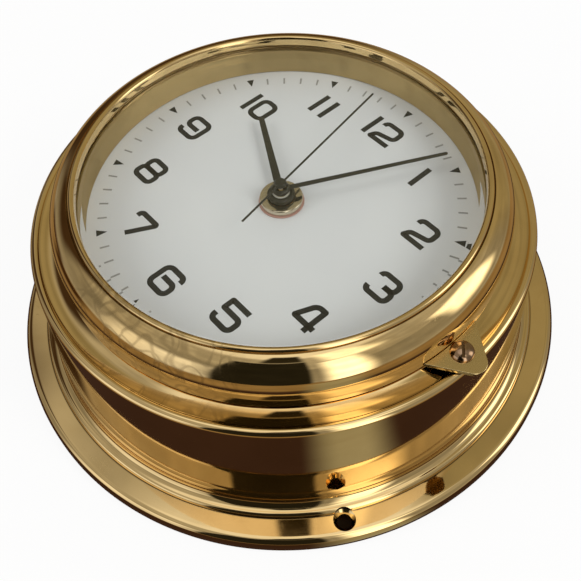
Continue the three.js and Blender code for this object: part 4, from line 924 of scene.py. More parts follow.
@dataclass
class Case:
    """Spun brass case: wall flange, beaded foot, flared wall, rolled rim, shoulder and seat for the dial."""

    bore: float = 73.3
    flare: float = 2.4
    flange: float = 90.0
    flange_height: float = 5.5
    flange_edge: float = 2.4
    chamfer: float = 0.8
    crest: float = 81.1
    bead: Span = (1.3, 1.6)
    cove: float = 2.8
    wall: float = 75.9
    rim: float = 1.6
    rim_proud: float = 0.5
    shoulder: float = 47.2
    dish: float = 0.35
    dish_foot: float = 67.6
    underside: float = 44.6
    seat: float = 66.5
    seat_height: float = 47.7
    dial_recess: float = 60.7
    ledge: float = 57.0
    ledge_height: float = 46.5
    hole_circle: float = 84.5
    hole: float = 2.2
    hole_ends: Span = (-1.0, 8.5)
    countersink: Span = (3.3, 1.3)
    lock_hole: Span = (71.6, 1.6)
    lock_depth: Span = (42.0, 48.2)

    def profile(self) -> Array:
        """Returns the closed section of the case, with small roundings where real edges have them."""
        rim = (self.wall - self.rim, self.shoulder + self.rim_proud - self.rim)
        edge, high, chamfer = self.flange_edge, self.flange_height, self.chamfer
        cove = (self.crest, high + self.bead[1] + self.cove)
        lean = math.degrees(math.atan2(self.flare, rim[1] - cove[1]))
        inner = rim[0] - math.sqrt(self.rim ** 2 - (self.rim - self.rim_proud) ** 2)
        return rounded([
            (self.bore + self.flare, 0.0, 0.3),
            (self.flange - chamfer, 0.0, 0.3),
            (self.flange, chamfer, 0.3),
            *arc((self.flange - edge, high - edge), (edge, edge), 0, 90, 16),
            (self.crest + self.bead[0], high, 0.15),
            *arc((self.crest, high), self.bead, 12, 90, 14),
            *arc(cove, (self.cove, self.cove), -90, lean - 180, 18)[1:],
            *arc(rim, (self.rim, self.rim), lean, 130, 18),
            *self.dished(inner),
            (self.seat, self.shoulder, 0.2),
            (self.seat, self.seat_height, 0.25),
            (self.dial_recess, self.seat_height, 0.2),
            (self.dial_recess, self.ledge_height, 0.15),
            (self.ledge, self.ledge_height, 0.25),
            (self.ledge, self.underside, 0.25),
            (self.bore - chamfer, self.underside, 0.5),
            (self.bore, self.underside - chamfer, 0.5),
        ], 4)

    def dished(self, outer: float) -> Array:
        """Returns the shoulder from its outer edge inwards: a parabola, lower by the dish at its middle."""
        across = np.linspace(1, -1, 13)
        radius = self.dish_foot + (outer - self.dish_foot) * (across + 1) / 2
        return np.stack([radius, self.shoulder - self.dish * (1 - across ** 2), 0 * across], 1)

    def hole_places(self) -> Array:
        """Returns where the three screw holes open at the back."""
        return arc((0.0, 0.0), (self.hole_circle, self.hole_circle), 90.0, 330.0, 2)

    def build(self) -> None:
        """Makes the case with its countersunk screw holes and the hole for the lock screw."""
        shell = Shell().lathe(self.profile(), 320).piece("case_shell")
        (start, end), (wide, deep), high = self.hole_ends, self.countersink, self.flange_height
        for place in self.hole_places():
            drill(shell, [(0.0, start), (self.hole, start), (self.hole, high - deep), (wide, high),
                          (wide, end), (0.0, end)], 40, place)
        center, radius = self.lock_hole
        low, high = self.lock_depth
        drill(shell, [(0.0, low), (radius, low), (radius, high), (0.0, high)], 32, (center, 0.0, 0.0))
        seat(shell, CASE_BRASS, Body.CASE, "case")


@dataclass
class Bezel:
    """Hinged bezel: rolled brass ring with rim bead, bevelled glass, its retainer, lock lug and screw."""

    outside: float = 68.0
    relief: float = 64.3
    low: float = 48.0
    skirt: float = 53.4
    roll: float = 9.35
    opening: float = 58.9
    groove: float = 61.0
    groove_rise: float = 0.2
    rim: float = 0.95
    rim_height: float = 62.15
    lip: float = 60.1
    glass_bore: float = 62.2
    relief_height: float = 50.3
    pane: float = 61.9
    pane_low: float = 56.8
    pane_high: float = 60.0
    bevel: float = 4.7
    bevel_drop: float = 1.0
    retainer_bore: float = 59.9
    retainer: Span = (55.1, 56.7)
    lug_half: float = 10.0
    lug_reach: float = 79.2
    lug_tip: float = 3.8
    lug_gap: float = 0.1
    lug: Span = (48.3, 49.5)
    lock: float = 71.6
    lock_head: Span = (3.3, 2.0)
    lock_slot: Span = (0.8, 0.8)
    lock_turn: float = 45.0
    shank: float = 1.3
    shank_ends: Span = (44.0, 49.8)

    def profile(self) -> Array:
        """Returns the closed section of the bezel: skirt, roll, groove, rim bead, lip and glass seat."""
        center = self.outside - self.roll
        end = math.degrees(math.acos((self.groove + self.groove_rise - center) / self.roll))
        return rounded([
            (self.relief, self.low, 0.2),
            (self.outside, self.low, 0.35),
            *arc((center, self.skirt), (self.roll, self.roll), 0, end, 40),
            (self.groove, self.rim_height - self.groove_rise, 0.08),
            *arc((self.opening + self.rim, self.rim_height), (self.rim, self.rim), 0, 180, 20),
            (self.opening, self.lip, 0.15),
            (self.glass_bore, self.lip, 0.1),
            (self.glass_bore, self.relief_height, 0.15),
            (self.relief, self.relief_height, 0.15),
        ], 4)

    def pane_profile(self) -> Array:
        """Returns the section of the pane, from its axis round the bevel and back."""
        return rounded([
            (0.0, self.pane_low, 0.0),
            (self.pane, self.pane_low, 0.2),
            (self.pane, self.pane_high - self.bevel_drop, 0.2),
            (self.pane - self.bevel, self.pane_high, 0.6),
            (0.0, self.pane_high, 0.0),
        ], 6, False)

    def lug_outline(self) -> Array:
        """Returns the lug's outline: two straight flanks to a round tip, and the arc that meets the bezel."""
        tip = self.lug_reach - self.lug_tip
        foot = self.outside + self.lug_gap
        reach = math.degrees(math.pi / 2 - math.atan2(self.lug_half - self.lug_tip, tip - self.outside))
        back = math.degrees(math.asin(self.lug_half / foot))
        return np.array([
            *arc((tip, 0.0), (self.lug_tip, self.lug_tip), -reach, reach, 16),
            *arc((0.0, 0.0), (foot, foot), back, -back, 16),
        ])[:, :2]

    def screw_head(self) -> Array:
        """Returns the slotted head as a grid over x and the share of the chord at x.

        The dome is h sqrt(1 - (x^2 + y^2) / R^2); between the two slot lines the surface is cut down to the
        slot's floor. Each slot line is there twice, on the dome and on the floor, so the walls stand upright.
        """
        radius, height = self.lock_head
        half, floor = self.lock_slot[0] / 2, height - self.lock_slot[1]
        outer = radius * np.sin(np.linspace(math.asin(half / radius), math.pi / 2, 16))
        x = np.concatenate([-outer[::-1], np.linspace(-half, half, 4), outer])[:, None]
        inside = np.pad(np.ones(4, bool), 16)[:, None]
        share = np.sin(np.linspace(-math.pi / 2, math.pi / 2, 33))[None]
        y = share * np.sqrt(np.maximum(radius ** 2 - x ** 2, 0))
        dome = height * np.sqrt(np.clip(1 - (x ** 2 + y ** 2) / radius ** 2, 0, 1))
        z = np.where(inside, np.minimum(dome, floor), dome) + self.lug[1] + self.lug_gap
        turn = math.radians(self.lock_turn)
        return np.stack([self.lock + x * math.cos(turn) - y * math.sin(turn),
                         x * math.sin(turn) + y * math.cos(turn), z], -1)

    def screw(self) -> Shell:
        """Returns the lock screw: slotted head with a flat underside, and its shank."""
        head = self.screw_head()
        low, high = self.shank_ends
        shank = rounded([(0.0, low, 0.0), (self.shank, low, 0.3), (self.shank, high, 0.05), (0.0, high, 0.0)],
                        3, False)
        shell = Shell().grid(head).cap(np.concatenate([head[:, 0], head[::-1, -1]]))
        return shell.lathe(shank, 32, False, place=(self.lock, 0.0, 0.0))

    def build(self) -> None:
        """Makes the ring, the pane, its retainer, the lug and the lock screw."""
        seat(Shell().lathe(self.profile(), 320).piece("bezel_ring"), BEZEL_BRASS, Body.BEZEL, "bezel")
        seat(Shell().lathe(self.pane_profile(), 256, False).piece("glass_pane"), PANE, Body.BEZEL, "glass")
        ring = box((self.retainer_bore, self.pane), self.retainer, (0.2, 0.2), 3)
        seat(Shell().lathe(ring, 192).piece("retaining_ring"), RETAINER_BRASS, Body.BEZEL, "glass_retainer")
        lug = Shell().plate(self.lug_outline(), *self.lug, edge=0.18)
        seat(lug.piece("lug_plate"), LUG_BRASS, Body.BEZEL, "lock_lug")
        seat(self.screw().piece("slotted_screw"), SCREW_BRASS, Body.LOCK_SCREW, "lock_screw")


@dataclass
class Hinge:
    """Bezel hinge at nine o'clock: two knuckles on a plate, one on the bezel, and the pin through them."""

    x: float = -70.7
    z: float = 50.1
    knuckle: float = 2.0
    bore: float = 1.05
    inner_half: float = 3.6
    outer: Span = (3.9, 8.6)
    plate: Span = (47.3, 47.8)
    plate_half: float = 1.8
    post_half: float = 1.0
    post_ends: Span = (47.5, 48.9)
    web: Span = (-69.4, -68.05)
    web_half: float = 0.9
    pin: float = 0.9
    pin_head: float = 1.5
    pin_ends: Span = (8.7, 9.3)

    def barrel(self, shell: Shell, low: float, high: float) -> None:
        """Adds one knuckle, a bored barrel with rounded ends."""
        section = box((self.bore, self.knuckle), (low, high), (0.1, 0.3), 4)
        shell.lathe(section, 48, True, Axis.Y, (self.x, 0.0, self.z))

    def block(self, shell: Shell, x: Span, y: Span, z: Span, edge: float = 0.1) -> None:
        """Adds a block with rounded edges."""
        shell.plate(box(x, y, (edge, edge), 3), *z, edge=edge)

    def rod(self) -> Shell:
        """Returns the pin with a head at either end."""
        near, far = self.pin_ends
        head = self.pin_head
        half = [(self.pin, near, 0.05), (head, near, 0.1), (head, far, 0.3), (0.0, far, 0.0)]
        section = rounded([(x, -y, edge) for x, y, edge in reversed(half)] + half, 4, False)
        return Shell().lathe(section, 40, False, Axis.Y, (self.x, 0.0, self.z))

    def build(self) -> None:
        """Makes the knuckles and the pin, and dresses the screws."""
        fixed, moving = Shell(), Shell()
        start, end = self.outer
        self.block(fixed, (self.x - self.plate_half, self.x + self.plate_half), (-end, end), self.plate, 0.12)
        for y in (self.outer, (-end, -start)):
            self.barrel(fixed, *y)
            self.block(fixed, (self.x - self.post_half, self.x + self.post_half), y, self.post_ends)
        seat(fixed.piece("fixed_knuckles"), CASE_BRASS, Body.CASE, "case_knuckles")
        y = (-self.inner_half, self.inner_half)
        self.barrel(moving, *y)
        self.block(moving, self.web, y, (self.z - self.web_half, self.z + self.web_half))
        seat(moving.piece("bezel_knuckle_barrel"), CASE_BRASS, Body.BEZEL, "bezel_knuckle")
        seat(self.rod().piece("hinge_pin_rod"), CASE_BRASS, Body.CASE, "hinge_pin")
        dress(CASE_BRASS, "hinge_screw_1", "hinge_screw_2")


# Each digit's strokes: whether the stroke closes, and its centre line with rounded corners.
SPIRAL: list[Corner] = [(3.6, 2.2, 0), (3.6, 4.1, 1.5), (-3.6, 4.1, 2.0), (-3.6, -4.1, 1.8), (3.6, -4.1, 1.8),
                        (3.6, 0.3, 1.6), (-1.9, 0.3, 0)]
STROKES: dict[str, list[tuple[bool, list[Corner]]]] = {
    "0": [(True, [(2.85, -4.1, 2.0), (2.85, 4.1, 2.0), (-2.85, 4.1, 2.0), (-2.85, -4.1, 2.0)])],
    "1": [(False, [(0, -4.75, 0), (0, 4.75, 0)])],
    "2": [(False, [(-3.6, 2.3, 0), (-3.6, 4.1, 1.5), (3.5, 4.1, 1.8), (3.5, -0.6, 1.6), (-2.9, -1.9, 1.6),
                   (-3.9, -4.1, 0.15), (3.9, -4.1, 0)])],
    "3": [(False, [(-3.6, 2.5, 0), (-3.6, 4.1, 1.5), (3.4, 4.1, 1.7), (3.4, 0.15, 1.4), (-0.2, 0.15, 0)]),
          (False, [(-0.2, 0.05, 0), (3.6, 0.05, 1.4), (3.6, -4.1, 1.7), (-3.9, -4.1, 1.5), (-3.9, -2.4, 0)])],
    "4": [(False, [(3.1, -2.5, 0), (-4.6, -2.5, 0.2), (-1.9, 4.1, 2.4), (1.2, 4.1, 0.15), (1.2, -4.75, 0)])],
    "5": [(False, [(3.7, 4.1, 0), (-3.5, 4.1, 0.15), (-3.5, 0.7, 0.15), (3.6, 0.7, 1.5), (3.6, -4.1, 1.8),
                   (-3.8, -4.1, 1.5), (-3.8, -1.9, 0)])],
    "6": [(False, SPIRAL)],
    "7": [(False, [(-3.9, 2.2, 0), (-3.9, 4.1, 1.1), (3.8, 4.1, 0.5), (-0.9, -4.75, 0)])],
    "8": [(True, [(3.3, 0.1, 1.4), (3.3, 4.1, 1.6), (-3.3, 4.1, 1.6), (-3.3, 0.1, 1.4)]),
          (True, [(3.6, -4.1, 1.6), (3.6, 0.1, 1.4), (-3.6, 0.1, 1.4), (-3.6, -4.1, 1.6)])],
    "9": [(False, [(-x, -y, r) for x, y, r in SPIRAL])],
}
# Each hour's digits, with their shift from the numeral's place.
DIGITS: dict[int, list[tuple[str, float]]] = {
    **{hour: [(str(hour), 0.0)] for hour in range(1, 10)},
    10: [("1", -2.6), ("0", 3.1)], 11: [("1", -2.3), ("1", 2.3)], 12: [("1", -4.7), ("2", 1.9)],
}


@dataclass
class Dial:
    """Printed dial and the satin ring round it."""

    face: float = 47.6
    back: float = 46.6
    radius: float = 60.4
    hole: float = 4.3
    numeral_circle: float = 43.1
    stroke: float = 1.75
    numeral_scale: float = 0.97
    ink: Span = (-0.02, 0.03)
    tick: Span = (52.6, 55.4)
    tick_width: float = 0.6
    triangle: Span = (52.5, 55.8)
    triangle_half: float = 1.2
    ring_bore: float = 58.6
    ring_wall: float = 59.5
    ring_foot: float = 64.0
    ring: Corner = (47.9, 49.0, 56.5)

    def hour_place(self, hour: float, radius: float) -> Array:
        """Returns the point at an hour on a circle."""
        angle = math.radians(90 - 30 * hour)
        return radius * np.array([math.cos(angle), math.sin(angle)])

    def ink_ends(self) -> Array:
        """Returns the heights of the print's foot, sunk in the dial, and of its top."""
        return self.face + np.array(self.ink)

    def numerals(self) -> Shell:
        """Returns all numerals as upright strokes."""
        shell = Shell()
        for hour, digits in DIGITS.items():
            for digit, shift in digits:
                middle = self.hour_place(hour, self.numeral_circle) + np.array([shift, 0.0])
                for loop, corners in STROKES[digit]:
                    path = rounded(corners, 7, loop) * self.numeral_scale + middle
                    shell.ribbon(path, self.stroke, self.ink_ends(), loop)
        return shell

    def triangles(self) -> Shell:
        """Returns the hour marks, flat triangles whose points look inwards."""
        shell = Shell()
        for hour in range(12):
            inner, outer = (self.hour_place(hour, radius) for radius in self.triangle)
            along = unit(outer - inner)
            side = np.array([-along[1], along[0]]) * self.triangle_half
            outline = np.stack([inner, outer - side, outer + side])
            shell.tube(raised(np.stack([outline, outline]), self.ink_ends()[:, None]))
        return shell

    def ticks(self) -> Shell:
        """Returns the minute marks between the triangles."""
        shell = Shell()
        for minute in range(60):
            if minute % 5:
                path = np.stack([self.hour_place(minute / 5, radius) for radius in self.tick])
                shell.ribbon(path, self.tick_width, self.ink_ends())
        return shell

    def build(self) -> None:
        """Makes the dial, its print and the ring, and dresses the ring's screws."""
        disc = box((self.hole, self.radius), (self.back, self.face), (0.1, 0.1), 3)
        seat(Shell().lathe(disc, 192).piece("dial_disc"), DIAL_PAINT, Body.CASE, "dial")
        seat(self.numerals().piece("dial_numerals"), NUMERAL_INK, Body.CASE)
        seat(self.triangles().piece("hour_marks"), NUMERAL_INK, Body.CASE)
        seat(self.ticks().piece("minute_marks"), TICK_INK, Body.CASE)
        low, foot, top = self.ring
        bore, wall, wide = self.ring_bore, self.ring_wall, self.ring_foot
        ring = rounded([(bore, low, 0.15), (wide, low, 0.15), (wide, foot, 0.2), (wall, foot, 0.2),
                        (wall, top, 0.2), (bore, top, 0.2)], 4)
        seat(Shell().lathe(ring, 256).piece("dial_frame"), RING_BRASS, Body.CASE, "dial_ring")
        dress(CASE_BRASS, "dial_ring_screw_1", "dial_ring_screw_2", "dial_ring_screw_3")


@dataclass
class Hand:
    """One hand: a tapered blade on a turned boss."""

    name: str
    node: str
    body: Body
    low: float
    length: float
    tail: float
    root: float
    tip: float
    thickness: float
    boss: float
    boss_height: float
    bore: float
    minutes: float
    open_top: bool = True
    bevel: float = 0.12
    blunt: float = 0.02
    crown: float = 0.45
    cap_rim: float = 0.35
    cap_wall: float = 0.2

    def blade(self) -> Array:
        """Returns the blade as a grid of sections along its length.

        Row i is an eight-sided section with bevelled edges, of half width w(s): straight from root to tip,
        then closed in a quarter circle over the last half width.
        """
        bend = np.linspace(0, math.pi / 2, 6)
        along = np.concatenate([[-self.tail], self.length - self.tip / 2 * (1 - np.sin(bend))])[:, None]
        half = np.concatenate([[self.root / 2], np.maximum(self.tip / 2 * np.cos(bend), self.blunt)])
        edge = np.minimum(self.bevel, half / 2)
        zero = 0 * half
        high = zero + self.thickness
        x = np.stack([-half + edge, half - edge, half, half, half - edge, edge - half, -half, -half], 1)
        z = np.stack([zero, zero, edge, high - edge, high, high, high - edge, edge], 1)
        angle = math.radians(90 - 6 * self.minutes)
        return np.stack([along * math.cos(angle) - x * math.sin(angle),
                         along * math.sin(angle) + x * math.cos(angle), self.low + z], -1)

    def boss_profile(self) -> Array:
        """Returns the closed section of the boss, or of a cap where the top is shut."""
        top, bore = self.low + self.boss_height, self.bore
        if self.open_top:
            shoulder = (self.boss + bore) / 2
            ends = [(bore, top, 0.08)]
        else:
            under = top - self.cap_wall
            shoulder = self.boss - self.cap_rim
            ends = [(0.0, top, 0.0), (0.0, under, 0.0), (bore, under, 0.05)]
        return rounded([(bore, self.low, 0.05), (self.boss, self.low, 0.12),
                        (self.boss, top - self.crown, 0.25), (shoulder, top, 0.2), *ends], 4)

    def build(self) -> None:
        """Makes the hand."""
        shell = Shell().tube(self.blade()).lathe(self.boss_profile(), 64)
        seat(shell.piece(self.name), HAND_BLACK, self.body, self.node)


@dataclass
class Center:
    """Hands, and the nut, washer and bush that hold the movement to the dial."""

    bore: float = 4.3
    washer: float = 6.9
    washer_ends: Span = (47.7, 48.1)
    nut: float = 6.5
    nut_ends: Span = (48.2, 50.0)
    hands: tuple[Hand, ...] = (
        Hand("hour_pointer", "hour_hand", Body.HOUR, 50.5, 33.8, 0.0, 2.6, 1.8, 0.4, 4.1, 1.4, 2.7, 50.0),
        Hand("minute_pointer", "minute_hand", Body.MINUTE, 52.8, 52.2, 0.0, 1.7, 1.2, 0.4, 2.7, 1.3, 1.7,
             4.5),
        Hand("seconds_pointer", "second_hand", Body.SECONDS, 55.0, 48.0, 17.6, 0.7, 0.7, 0.3, 1.85, 1.2, 0.7,
             58.2, False),
    )

    def build(self) -> None:
        """Makes the hands, the nut and the washers."""
        washer = box((self.bore, self.washer), self.washer_ends, (0.1, 0.1), 4)
        seat(Shell().lathe(washer, 96).piece("fibre_ring"), FIBRE, Body.CASE, "dial_washer")
        nut = box((self.bore, self.nut), self.nut_ends, (0.1, 0.45), 4)
        seat(Shell().lathe(nut, 96).piece("round_nut"), NUT_BRASS, Body.CASE, "dial_nut")
        for hand in self.hands:
            hand.build()
        dress(CASE_BRASS, "center_bush", "minute_arbor")
        dress(RUBBER, "rubber_washer")
        dress(NYLON, "hour_wheel")


@dataclass
class Movement:
    """Quartz movement behind the dial."""

    battery_y: float = -19.23
    battery_z: float = 37.0
    battery: float = 7.1
    battery_ends: Corner = (-24.7, 24.5, 25.8)
    nub: float = 2.7
    foot: Span = (1.2, 0.4)
    knob: Span = (-18.0, 0.0)
    knob_radius: float = 4.5
    knob_edge: float = 0.4
    knob_ends: Span = (26.1, 29.6)
    flutes: int = 8
    flute: float = 0.75

    def cell(self) -> Shell:
        """Returns the battery: a can with rounded ends and the raised pole."""
        start, end, pole = self.battery_ends
        section = rounded([
            (0.0, start, 0.0),
            (self.battery - self.foot[0], start, 0.1),
            (self.battery, start + self.foot[1], 0.4),
            (self.battery, end, 0.7),
            (self.nub, end, 0.15),
            (self.nub, pole, 0.4),
            (0.0, pole, 0.0),
        ], 4, False)
        return Shell().lathe(section, 64, False, Axis.X, (0.0, self.battery_y, self.battery_z))

    def grip(self) -> Shell:
        """Returns the setting knob: r(t) = R - d ((1 + cos(n t)) / 2)^2 scallops its rounded rim."""
        turn = np.linspace(0, 2 * math.pi, 128, endpoint=False)
        scallop = self.knob_radius - self.flute * ((1 + np.cos(self.flutes * turn)) / 2) ** 2
        depth, height = softened(*self.knob_ends, self.knob_edge, 4)
        radius = np.pad(scallop - depth[:, None], ((1, 1), (0, 0)))
        points = np.stack([self.knob[0] + radius * np.cos(turn), self.knob[1] + radius * np.sin(turn)], -1)
        return Shell().grid(raised(points, np.pad(height, 1, "edge")[:, None]), wrap_columns=True)

    def build(self) -> None:
        """Makes the battery and the knob, and dresses the rest of the movement."""
        seat(self.cell().piece("battery_can"), BATTERY, Body.CASE, "battery")
        seat(self.grip().piece("fluted_knob"), PLASTIC, Body.SETTING, "setting_knob")
        dress(PLASTIC, "movement_housing", "movement_cover", "circuit_chip")
        dress(NYLON, "minute_work_wheel", "setting_arbor", "seconds_wheel", "third_wheel", "center_wheel",
              "intermediate_wheel", "rotor_shaft")
        dress(STEEL, "rotor_magnet", "stator", "positive_contact", "negative_contact", "quartz_crystal")
        dress(COPPER, "coil")
        dress(BOARD, "circuit_board")


# Floor, light and camera


def toward(azimuth: float, elevation: float) -> Vector:
    """Direction from the clock, by degrees to the right of six o'clock and above the floor."""
    turn, rise = math.radians(azimuth), math.radians(elevation)
    return Vector((math.sin(turn) * math.cos(rise), -math.cos(turn) * math.cos(rise), math.sin(rise)))


@dataclass
class SoftBox:
    """A soft studio lamp that shines at the clock, with its sizes in metres; mirrors don't show it."""

    name: str
    azimuth: float
    elevation: float
    size: Span
    power: float
    distance: float = 1.2
    color: Color = (1.0, 0.98, 0.95)
    target: Corner = (0.0, 0.0, 0.03)

    def build(self) -> None:
        """Puts the lamp in place, facing its target."""
        lamp = bpy.data.lights.new(self.name, "AREA")
        lamp.shape = "RECTANGLE"
        lamp.size, lamp.size_y = self.size
        lamp.energy = self.power
        lamp.color = self.color
        holder = linked(self.name, lamp)
        holder.visible_glossy = False
        away = toward(self.azimuth, self.elevation)
        holder.location = Vector(self.target) + away * self.distance
        holder.rotation_euler = away.to_track_quat("Z", "Y").to_euler()


@dataclass
class Card:
    """A plain card that the brass mirrors; the camera's own rays, soft light and shadows pass it.

    Its surface is P(u, t) = r(u) (cos t, sin t) at height z(u), with r and z straight between the given rows.
    An attribute named cover fades it out at its rims, by smoothstep(distance from the nearer rim / fade).
    """

    name: str
    color: Color
    rows: tuple[Span, ...]
    turn: Span = (0.0, 360.0)
    fade: Span = (0.0, 0.0)
    mottle: float = 0.75
    mottle_scale: float = 60.0
    mottle_patch: float = 9.0

    @staticmethod
    def ease(share: Array, fade: float) -> Array:
        """Returns 0 at either end of a share, rising to 1 over the fade."""
        near = np.clip(np.minimum(share, 1 - share) / max(fade, 1e-6), 0, 1)
        return near * near * (3 - 2 * near)

    def surface(self) -> bpy.types.Object:
        """Makes the card's surface with its cover attribute and returns it."""
        share, around = np.linspace(0, 1, 33)[:, None], np.linspace(0, 1, 97)[None]
        knots, (radii, heights) = np.linspace(0, 1, len(self.rows)), np.array(self.rows).T
        start, end = self.turn
        angle = np.radians(start + (end - start) * around - 90.0)
        radius, height = np.interp(share, knots, radii), np.interp(share, knots, heights)
        points = np.stack([radius * np.cos(angle), radius * np.sin(angle), height + 0 * angle], -1)
        card = Shell().grid(points).piece(self.name)
        x, y, z = read(card.data.vertices, "co", 3).T / METRES
        turned = (np.degrees(np.arctan2(y, x)) + 90.0 - start + 1e-3) % 360.0
        cover = np.ones(len(z))
        if self.fade[0]:
            upright = np.ptp(heights) > 0
            rise = np.interp(z, heights, knots) if upright else np.interp(np.hypot(x, y), radii, knots)
            cover *= self.ease(rise, self.fade[0])
        if self.fade[1]:
            cover *= self.ease(turned / (end - start), self.fade[1])
        store(card.data, "cover", cover)
        return card

    def draw(self, sheet: Sheet) -> Socket:
        """Adds the nodes of a glowing card, clear at its rims and before the first mirror.

        Args:
            sheet: the material's tree.

        Returns:
            The shader.
        """
        grain = GRAIN.place(sheet, Vector=sheet.where(), Scale=self.mottle_scale, Patch=self.mottle_patch)
        tone = sheet.mix(grain["Mask"], self.color, tuple(self.mottle * part for part in self.color))
        glow = sheet.node("ShaderNodeEmission", {"Color": tone, "Strength": 1.0})[0]
        bounced = sheet.math("MINIMUM", sheet.node("ShaderNodeLightPath")["Glossy Depth"], 1.0)
        cover = sheet.math("MULTIPLY", sheet.attribute("cover"), bounced)
        return sheet.blend(cover, sheet.node("ShaderNodeBsdfTransparent")[0], glow)

    def build(self) -> None:
        """Makes the card and keeps it to mirrors alone."""
        card = self.surface()
        card.data.materials.append(new_material(self.name, self.draw))
        card.visible_camera = card.visible_diffuse = card.visible_shadow = False


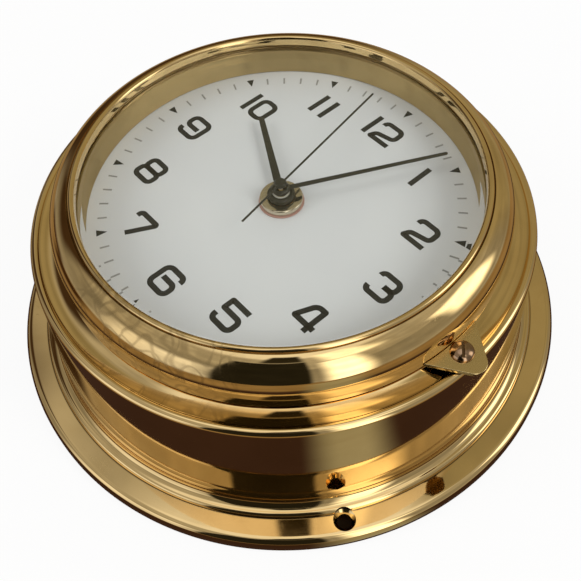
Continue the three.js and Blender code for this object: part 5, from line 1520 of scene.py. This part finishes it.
@dataclass
class Studio:
    """Pale floor, soft lamps, even sky, cards for the mirrors and the photograph's camera."""

    floor_rings: Corner = (88.5, 300.0, 3000.0)
    floor_drop: float = 0.2
    floor_blend: float = 1.0
    floor_color: Color = (0.90, 0.90, 0.90)
    floor_glow: float = 0.9
    # Painted shade: colour of the floor under the clock and of the spots under its screw holes.
    hidden_color: Color = (0.03, 0.02, 0.012)
    spot: float = 2.5
    sky: float = 0.66
    sky_color: Color = (1.0, 0.99, 0.97)
    backdrop: float = 0.98
    white: Color = (1.0, 1.0, 1.0)
    azimuth: float = 51.355
    elevation: float = 55.192
    roll: float = -3.362
    distance: float = 218.48
    target: Corner = (26.04, -19.44, 47.6)
    focal: float = 782.85
    lift: float = 1.5
    lamps: tuple[SoftBox, ...] = (
        SoftBox("left_box", -34.0, 38.0, (0.45, 0.6), 3.0),
        SoftBox("right_box", 112.0, 42.0, (0.3, 0.5), 4.6),
    )
    cards: tuple[Card, ...] = (
        Card("table_far", (0.34, 0.235, 0.115), ((89.0, -0.15), (600.0, -0.15))),
        # Painted shadow: a dark card seen only in mirrors, for the clock's shadow on the table beside the
        # flange.
        Card("table_shadow", (0.052, 0.027, 0.019), ((60.0, -0.1), (165.0, -0.1)), fade=(0.29, 0.0)),
        Card("table_sheen", (0.42, 0.40, 0.29), ((90.6, -0.05), (300.0, -0.05)), (52.0, 80.0), (0.0, 0.4)),
        Card("table_dark", (0.060, 0.028, 0.011), ((170.0, -0.05), (430.0, -0.05)), (-60.0, -26.0),
             (0.25, 0.3)),
        Card("low_dark", (0.070, 0.036, 0.016), ((385.0, -120.0), (385.0, 75.0)), (-72.0, -46.0), (0.3, 0.3)),
        Card("room_low", (0.35, 0.335, 0.30), ((440.0, -150.0), (440.0, 300.0), (430.0, 450.0)),
             fade=(0.25, 0.0)),
        Card("room_high", (0.52, 0.50, 0.45), ((450.0, 260.0), (400.0, 560.0), (240.0, 780.0)),
             fade=(0.2, 0.0)),
        Card("back_card", (0.37, 0.325, 0.205),
             ((390.0, -150.0), (390.0, 330.0), (340.0, 640.0), (190.0, 760.0)), (146.0, 280.0), (0.15, 0.15)),
        Card("back_low", (0.060, 0.035, 0.018), ((385.0, -150.0), (385.0, 270.0)), (205.0, 290.0),
             (0.3, 0.2)),
        Card("left_dark", (0.060, 0.035, 0.018), ((380.0, 60.0), (380.0, 330.0), (345.0, 560.0)),
             (271.0, 312.0), (0.25, 0.3)),
        Card("camera_card", (0.022, 0.020, 0.014),
             ((400.0, -150.0), (400.0, 300.0), (360.0, 520.0), (338.0, 566.0)), (20.0, 60.0), (0.1, 0.07)),
        Card("head_card", (0.030, 0.026, 0.016),
             ((345.0, 545.0), (300.0, 620.0), (230.0, 690.0), (150.0, 720.0)), (31.0, 61.0), (0.2, 0.2)),
        Card("left_window", (1.15, 1.17, 1.22), ((420.0, -30.0), (420.0, 300.0)), (-32.0, 30.0),
             (0.25, 0.35)),
        Card("right_window", (2.6, 2.6, 2.5), ((390.0, -60.0), (390.0, 300.0), (360.0, 480.0)), (61.0, 85.0),
             (0.12, 0.35)),
        Card("right_lamp", (1.9, 1.9, 1.8), ((370.0, 430.0), (330.0, 570.0), (250.0, 720.0), (190.0, 760.0)),
             (63.0, 104.0), (0.2, 0.3)),
        Card("far_window", (2.6, 2.6, 2.5), ((410.0, 60.0), (410.0, 480.0)), (114.0, 147.0), (0.25, 0.25)),
    )

    def floor(self) -> None:
        """Makes the floor, a ring P(u, t) = u (cos t, sin t) open under the back, with spots of painted shade
        in it.
        """
        turn = np.linspace(0, 2 * math.pi, 128, endpoint=False)
        radius = np.array(self.floor_rings)[:, None]
        flat = np.stack([radius * np.cos(turn), radius * np.sin(turn)], -1)
        points = raised(flat, np.array(-self.floor_drop))
        shell = Shell().grid(points, wrap_columns=True)
        for place in Case().hole_places():
            shell.cap(place + self.spot / radius[0] * points[0])
        disc = shell.piece("floor")
        disc.data.materials.append(new_material("pale_floor", self.draw_floor))

    def draw_floor(self, sheet: Sheet) -> Socket:
        """Adds the nodes of the floor: painted shade within its opening, pale and nearly white to the eye
        outside.

        Args:
            sheet: the material's tree.

        Returns:
            The shader.
        """
        seen = sheet.seen()
        away = sheet.vector_math("LENGTH", sheet.where())["Value"]
        rim = self.floor_rings[0]
        pale = sheet.ramp(away, (rim - self.floor_blend) * METRES, rim * METRES)
        tone = sheet.mix(pale, self.hidden_color, self.floor_color)
        lit = sheet.node("ShaderNodeBsdfDiffuse", {"Color": tone})[0]
        glow = sheet.node("ShaderNodeEmission", {"Color": self.white, "Strength": 1.0})[0]
        share = sheet.math("MULTIPLY", sheet.math("MULTIPLY", seen, pale), self.floor_glow)
        return sheet.blend(share, lit, glow)

    def air(self) -> None:
        """Sets an even pale sky: white to the eye and in mirrors, softer as light."""
        world = bpy.data.worlds.new("studio_air")
        sheet = Sheet.clean(world)
        seen = sheet.seen()
        soft = sheet.node("ShaderNodeBackground", {"Color": self.sky_color, "Strength": self.sky})[0]
        white = sheet.node("ShaderNodeBackground", {"Color": self.white, "Strength": self.backdrop})[0]
        sheet.node("ShaderNodeOutputWorld", {"Surface": sheet.blend(seen, soft, white)})
        bpy.context.scene.world = world

    def camera(self) -> None:
        """Puts the camera where the photograph was taken from, for a square image."""
        away = toward(self.azimuth, self.elevation)
        roll = math.radians(self.roll)
        right = (-away).cross(Vector((0.0, 0.0, 1.0))).normalized()
        up = right.cross(-away)
        across = math.cos(roll) * right + math.sin(roll) * up
        upward = -math.sin(roll) * right + math.cos(roll) * up
        data = bpy.data.cameras.new("photo_camera")
        data.sensor_fit = "HORIZONTAL"
        data.sensor_width = SENSOR
        data.lens = self.focal / IMAGE_SIZE * SENSOR
        data.clip_start = 0.01
        data.shift_y = self.lift / IMAGE_SIZE
        camera = linked("photo_camera", data)
        spin = Matrix((across, upward, away)).transposed().to_4x4()
        place = (Vector(self.target) + away * self.distance) * METRES
        camera.matrix_world = Matrix.Translation(place) @ spin
        bpy.context.scene.camera = camera

    def build(self) -> None:
        """Sets up floor, air, cards, lamps and camera."""
        bpy.context.scene.view_settings.view_transform = "Standard"
        self.floor()
        self.air()
        for item in (*self.cards, *self.lamps):
            item.build()
        self.camera()


def main() -> None:
    """Builds every sub-assembly and the studio."""
    logging.basicConfig(level=logging.INFO, format="%(message)s")
    for assembly in (Case(), Bezel(), Hinge(), Dial(), Center(), Movement()):
        assembly.build()
    Studio().build()


if __name__ == "__main__":
    main()
